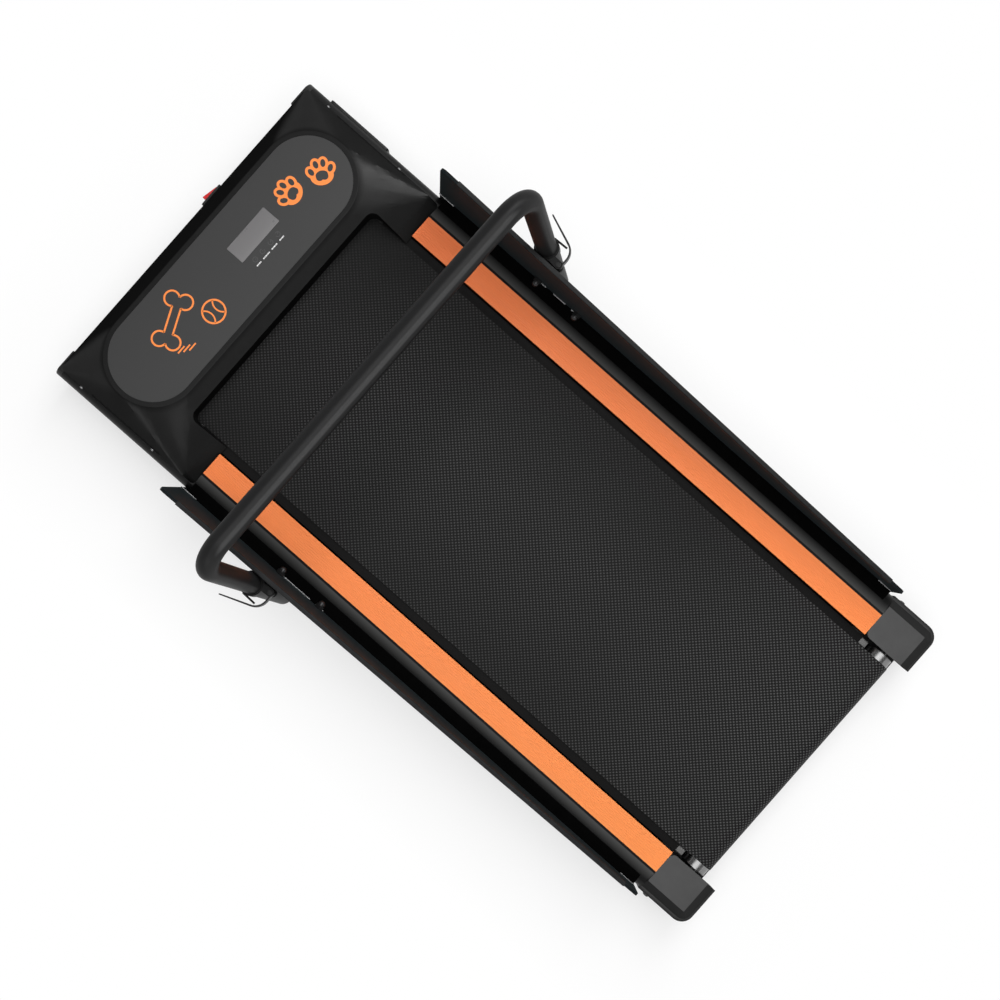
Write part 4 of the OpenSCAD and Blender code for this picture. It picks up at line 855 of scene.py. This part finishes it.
# screw and bolt heads: a low dome with a cross or a hex cut into it, in shares of the radius and the height
headForm = {"sides": 24, "taper": 0.88, "wall": 0.6, "inset": 0.14, "rises": (0.28, 0.12), "hex": 0.46,
    "crossReach": 0.56, "crossHalf": 0.17, "crossFrom": 0.3, "cutInset": 0.03, "cutDepth": 0.55}


def driveHead(bm, place, radius, height, drive):
    start = len(bm.verts)
    wall = height * headForm["wall"]
    bmesh.ops.create_cone(bm, cap_ends=True, segments=headForm["sides"], radius1=radius,
        radius2=radius * headForm["taper"], depth=wall)
    bm.verts.ensure_lookup_table()
    bmesh.ops.translate(bm, vec=(0, 0, wall / 2), verts=bm.verts[start:])
    faces = [f for v in bm.verts[start:] for f in v.link_faces]
    crown = max(faces, key=lambda f: f.calc_center_median().z)
    for rise in headForm["rises"]:
        bmesh.ops.inset_region(bm, faces=[crown], thickness=radius * headForm["inset"], depth=height * rise)
    for vert in crown.verts:  # the crown's rim drawn in to the outline of the cut
        angle = atan2(vert.co.y, vert.co.x)
        across, along = sorted((abs(cos(angle)), abs(sin(angle))), reverse=True)
        if drive == "hex":
            reach = headForm["hex"] / cos(angle % (pi / 3) - pi / 6)
        elif along < headForm["crossFrom"] * across:
            reach = headForm["crossReach"] / across
        else:
            reach = headForm["crossHalf"] / along
        vert.co.x, vert.co.y = radius * reach * cos(angle), radius * reach * sin(angle)
    bmesh.ops.inset_region(bm, faces=[crown], thickness=radius * headForm["cutInset"],
        depth=-height * headForm["cutDepth"])
    bm.verts.ensure_lookup_table()
    bmesh.ops.transform(bm, matrix=place, verts=bm.verts[start:])


def turnedTo(point, axis):
    return Matrix.Translation(point) @ Vector(axis).to_track_quat("Z", "X").to_matrix().to_4x4()


# heads over the CAD screws that show: each head's radius, height and cut
heads = {"hood_screws": (0.0023, 0.0012, "cross"), "end_cap_screws": (0.0042, 0.0016, "cross"),
    "panel_bolts": (0.0065, 0.0022, "hex")}
headSunk = 0.0004
for node, (radius, height, drive) in heads.items():
    bm = bmesh.new()
    for middle, half in solidsOf(node):
        out = 1 if middle.x > 0 else -1
        seat = (middle.x + out * (half.x - headSunk), middle.y, middle.z)
        driveHead(bm, turnedTo(seat, (out, 0, 0)), radius, height, drive)
    makePiece("heads_" + node, bm, "frame", slotOf[node], finish=ownFinish.get(node))
print("screw heads set")


# floor: white to the camera and to reflections, shaded where the object stands
floorSize = {"half": 40.0, "colour": (0.96, 0.96, 0.96), "white": 0.6, "beside": (0.27, 0.54), "fade": 0.16,
    "under": 0.14, "mottle": (3, 2.0), "shades": (0.99, 1.01)}
bm = bmesh.new()
bmesh.ops.create_grid(bm, x_segments=1, y_segments=1, size=floorSize["half"])
floorMesh = bpy.data.meshes.new("floor")
bm.to_mesh(floorMesh)
bm.free()
floor = bpy.data.objects.new("floor", floorMesh)
scene.collection.objects.link(floor)
paper = Finish("floorPaper", Roughness=0.9, Specular_IOR_Level=0.1)
mottle = paper.noise(*floorSize["mottle"])
paper.give("Base Color", paper.mottled(mottle, floorSize["colour"], *floorSize["shades"]))
white = paper.add("Emission", {}, {"Color": (1, 1, 1), "Strength": 1.0})
x, y = paper.axis()[:2]
besideX, besideY = floorSize["beside"]
apart = paper.math("MAXIMUM", abs(x) - besideX, abs(y) - besideY)
clear = paper.band(apart, 0.0, floorSize["fade"], 1 - floorSize["white"])
clear = clear + paper.band(apart, -floorSize["under"], 0.0, floorSize["white"])
paper.cover(paper.sight() * clear, Wire(paper, paper.shader.outputs[0]), white, "Material Output")
floorMesh.materials.append(paper.material)

# studio light: a wide soft top light, a light on each side, one behind and a dim room with a white wall
studio = {"room": 0.16, "wall": (0.5, 0.36), "lamps": [
    ("topLight", (0.0, -0.1, 2.9), (0, 0, 0), (2.4, 2.4), 53),
    ("keyLight", (1.75, 0.25, 1.9), (0, 0, 0.1), (1.0, 2.0), 36),
    ("fillLight", (-2.3, -0.2, 1.15), (0, 0, 0.1), (2.0, 0.6), 9),
    ("rearLight", (-0.4, -2.4, 1.3), (0, 0, 0.1), (2.2, 0.5), 4)]}
world = bpy.data.worlds.new("room")
scene.world = world
world.use_nodes = True
roomGraph = Graph(world.node_tree)
room = roomGraph.tree.nodes["Background"]
roomGraph.feed(room.inputs["Color"], (1, 1, 1))
roomGraph.feed(room.inputs["Strength"], studio["room"])
wall = roomGraph.add("Background", {}, {"Color": (1, 1, 1)})
upward = roomGraph.split(roomGraph.add("TexCoord", out="Generated"))[2]
lowDown = roomGraph.ramp(upward, *studio["wall"])  # the wall shows only towards low directions
roomGraph.cover(roomGraph.sight() * lowDown, Wire(roomGraph, room.outputs[0]), wall, "World Output")
for name, place, aim, size, watts in studio["lamps"]:
    data = bpy.data.lights.new(name, "AREA")
    data.shape, data.size, data.size_y, data.energy = "RECTANGLE", size[0], size[1], watts
    lamp = bpy.data.objects.new(name, data)
    lamp.location = place
    lamp.rotation_euler = (Vector(aim) - Vector(place)).to_track_quat("-Z", "Y").to_euler()
    scene.collection.objects.link(lamp)
print("floor, room and", len(studio["lamps"]), "lamps set")

# camera: straight down, the treadmill turned across the picture and set a little off its middle
lens = {"place": (-0.039, 0.02095, 1.843), "up": (0.7506, 0.6607, 0), "mm": 50, "sensor": 36,
    "shift": (0.0374, 0.0153)}
cameraData = bpy.data.cameras.new("camera")
cameraData.lens, cameraData.sensor_width = lens["mm"], lens["sensor"]
cameraData.shift_x, cameraData.shift_y = lens["shift"]
camera = bpy.data.objects.new("camera", cameraData)
back = Vector((0, 0, 1))
up = Vector(lens["up"]).normalized()
turn = Matrix((up.cross(back), up, back)).transposed().to_4x4()
camera.matrix_world = Matrix.Translation(lens["place"]) @ turn
scene.collection.objects.link(camera)
scene.camera = camera

bpy.context.view_layer.update()
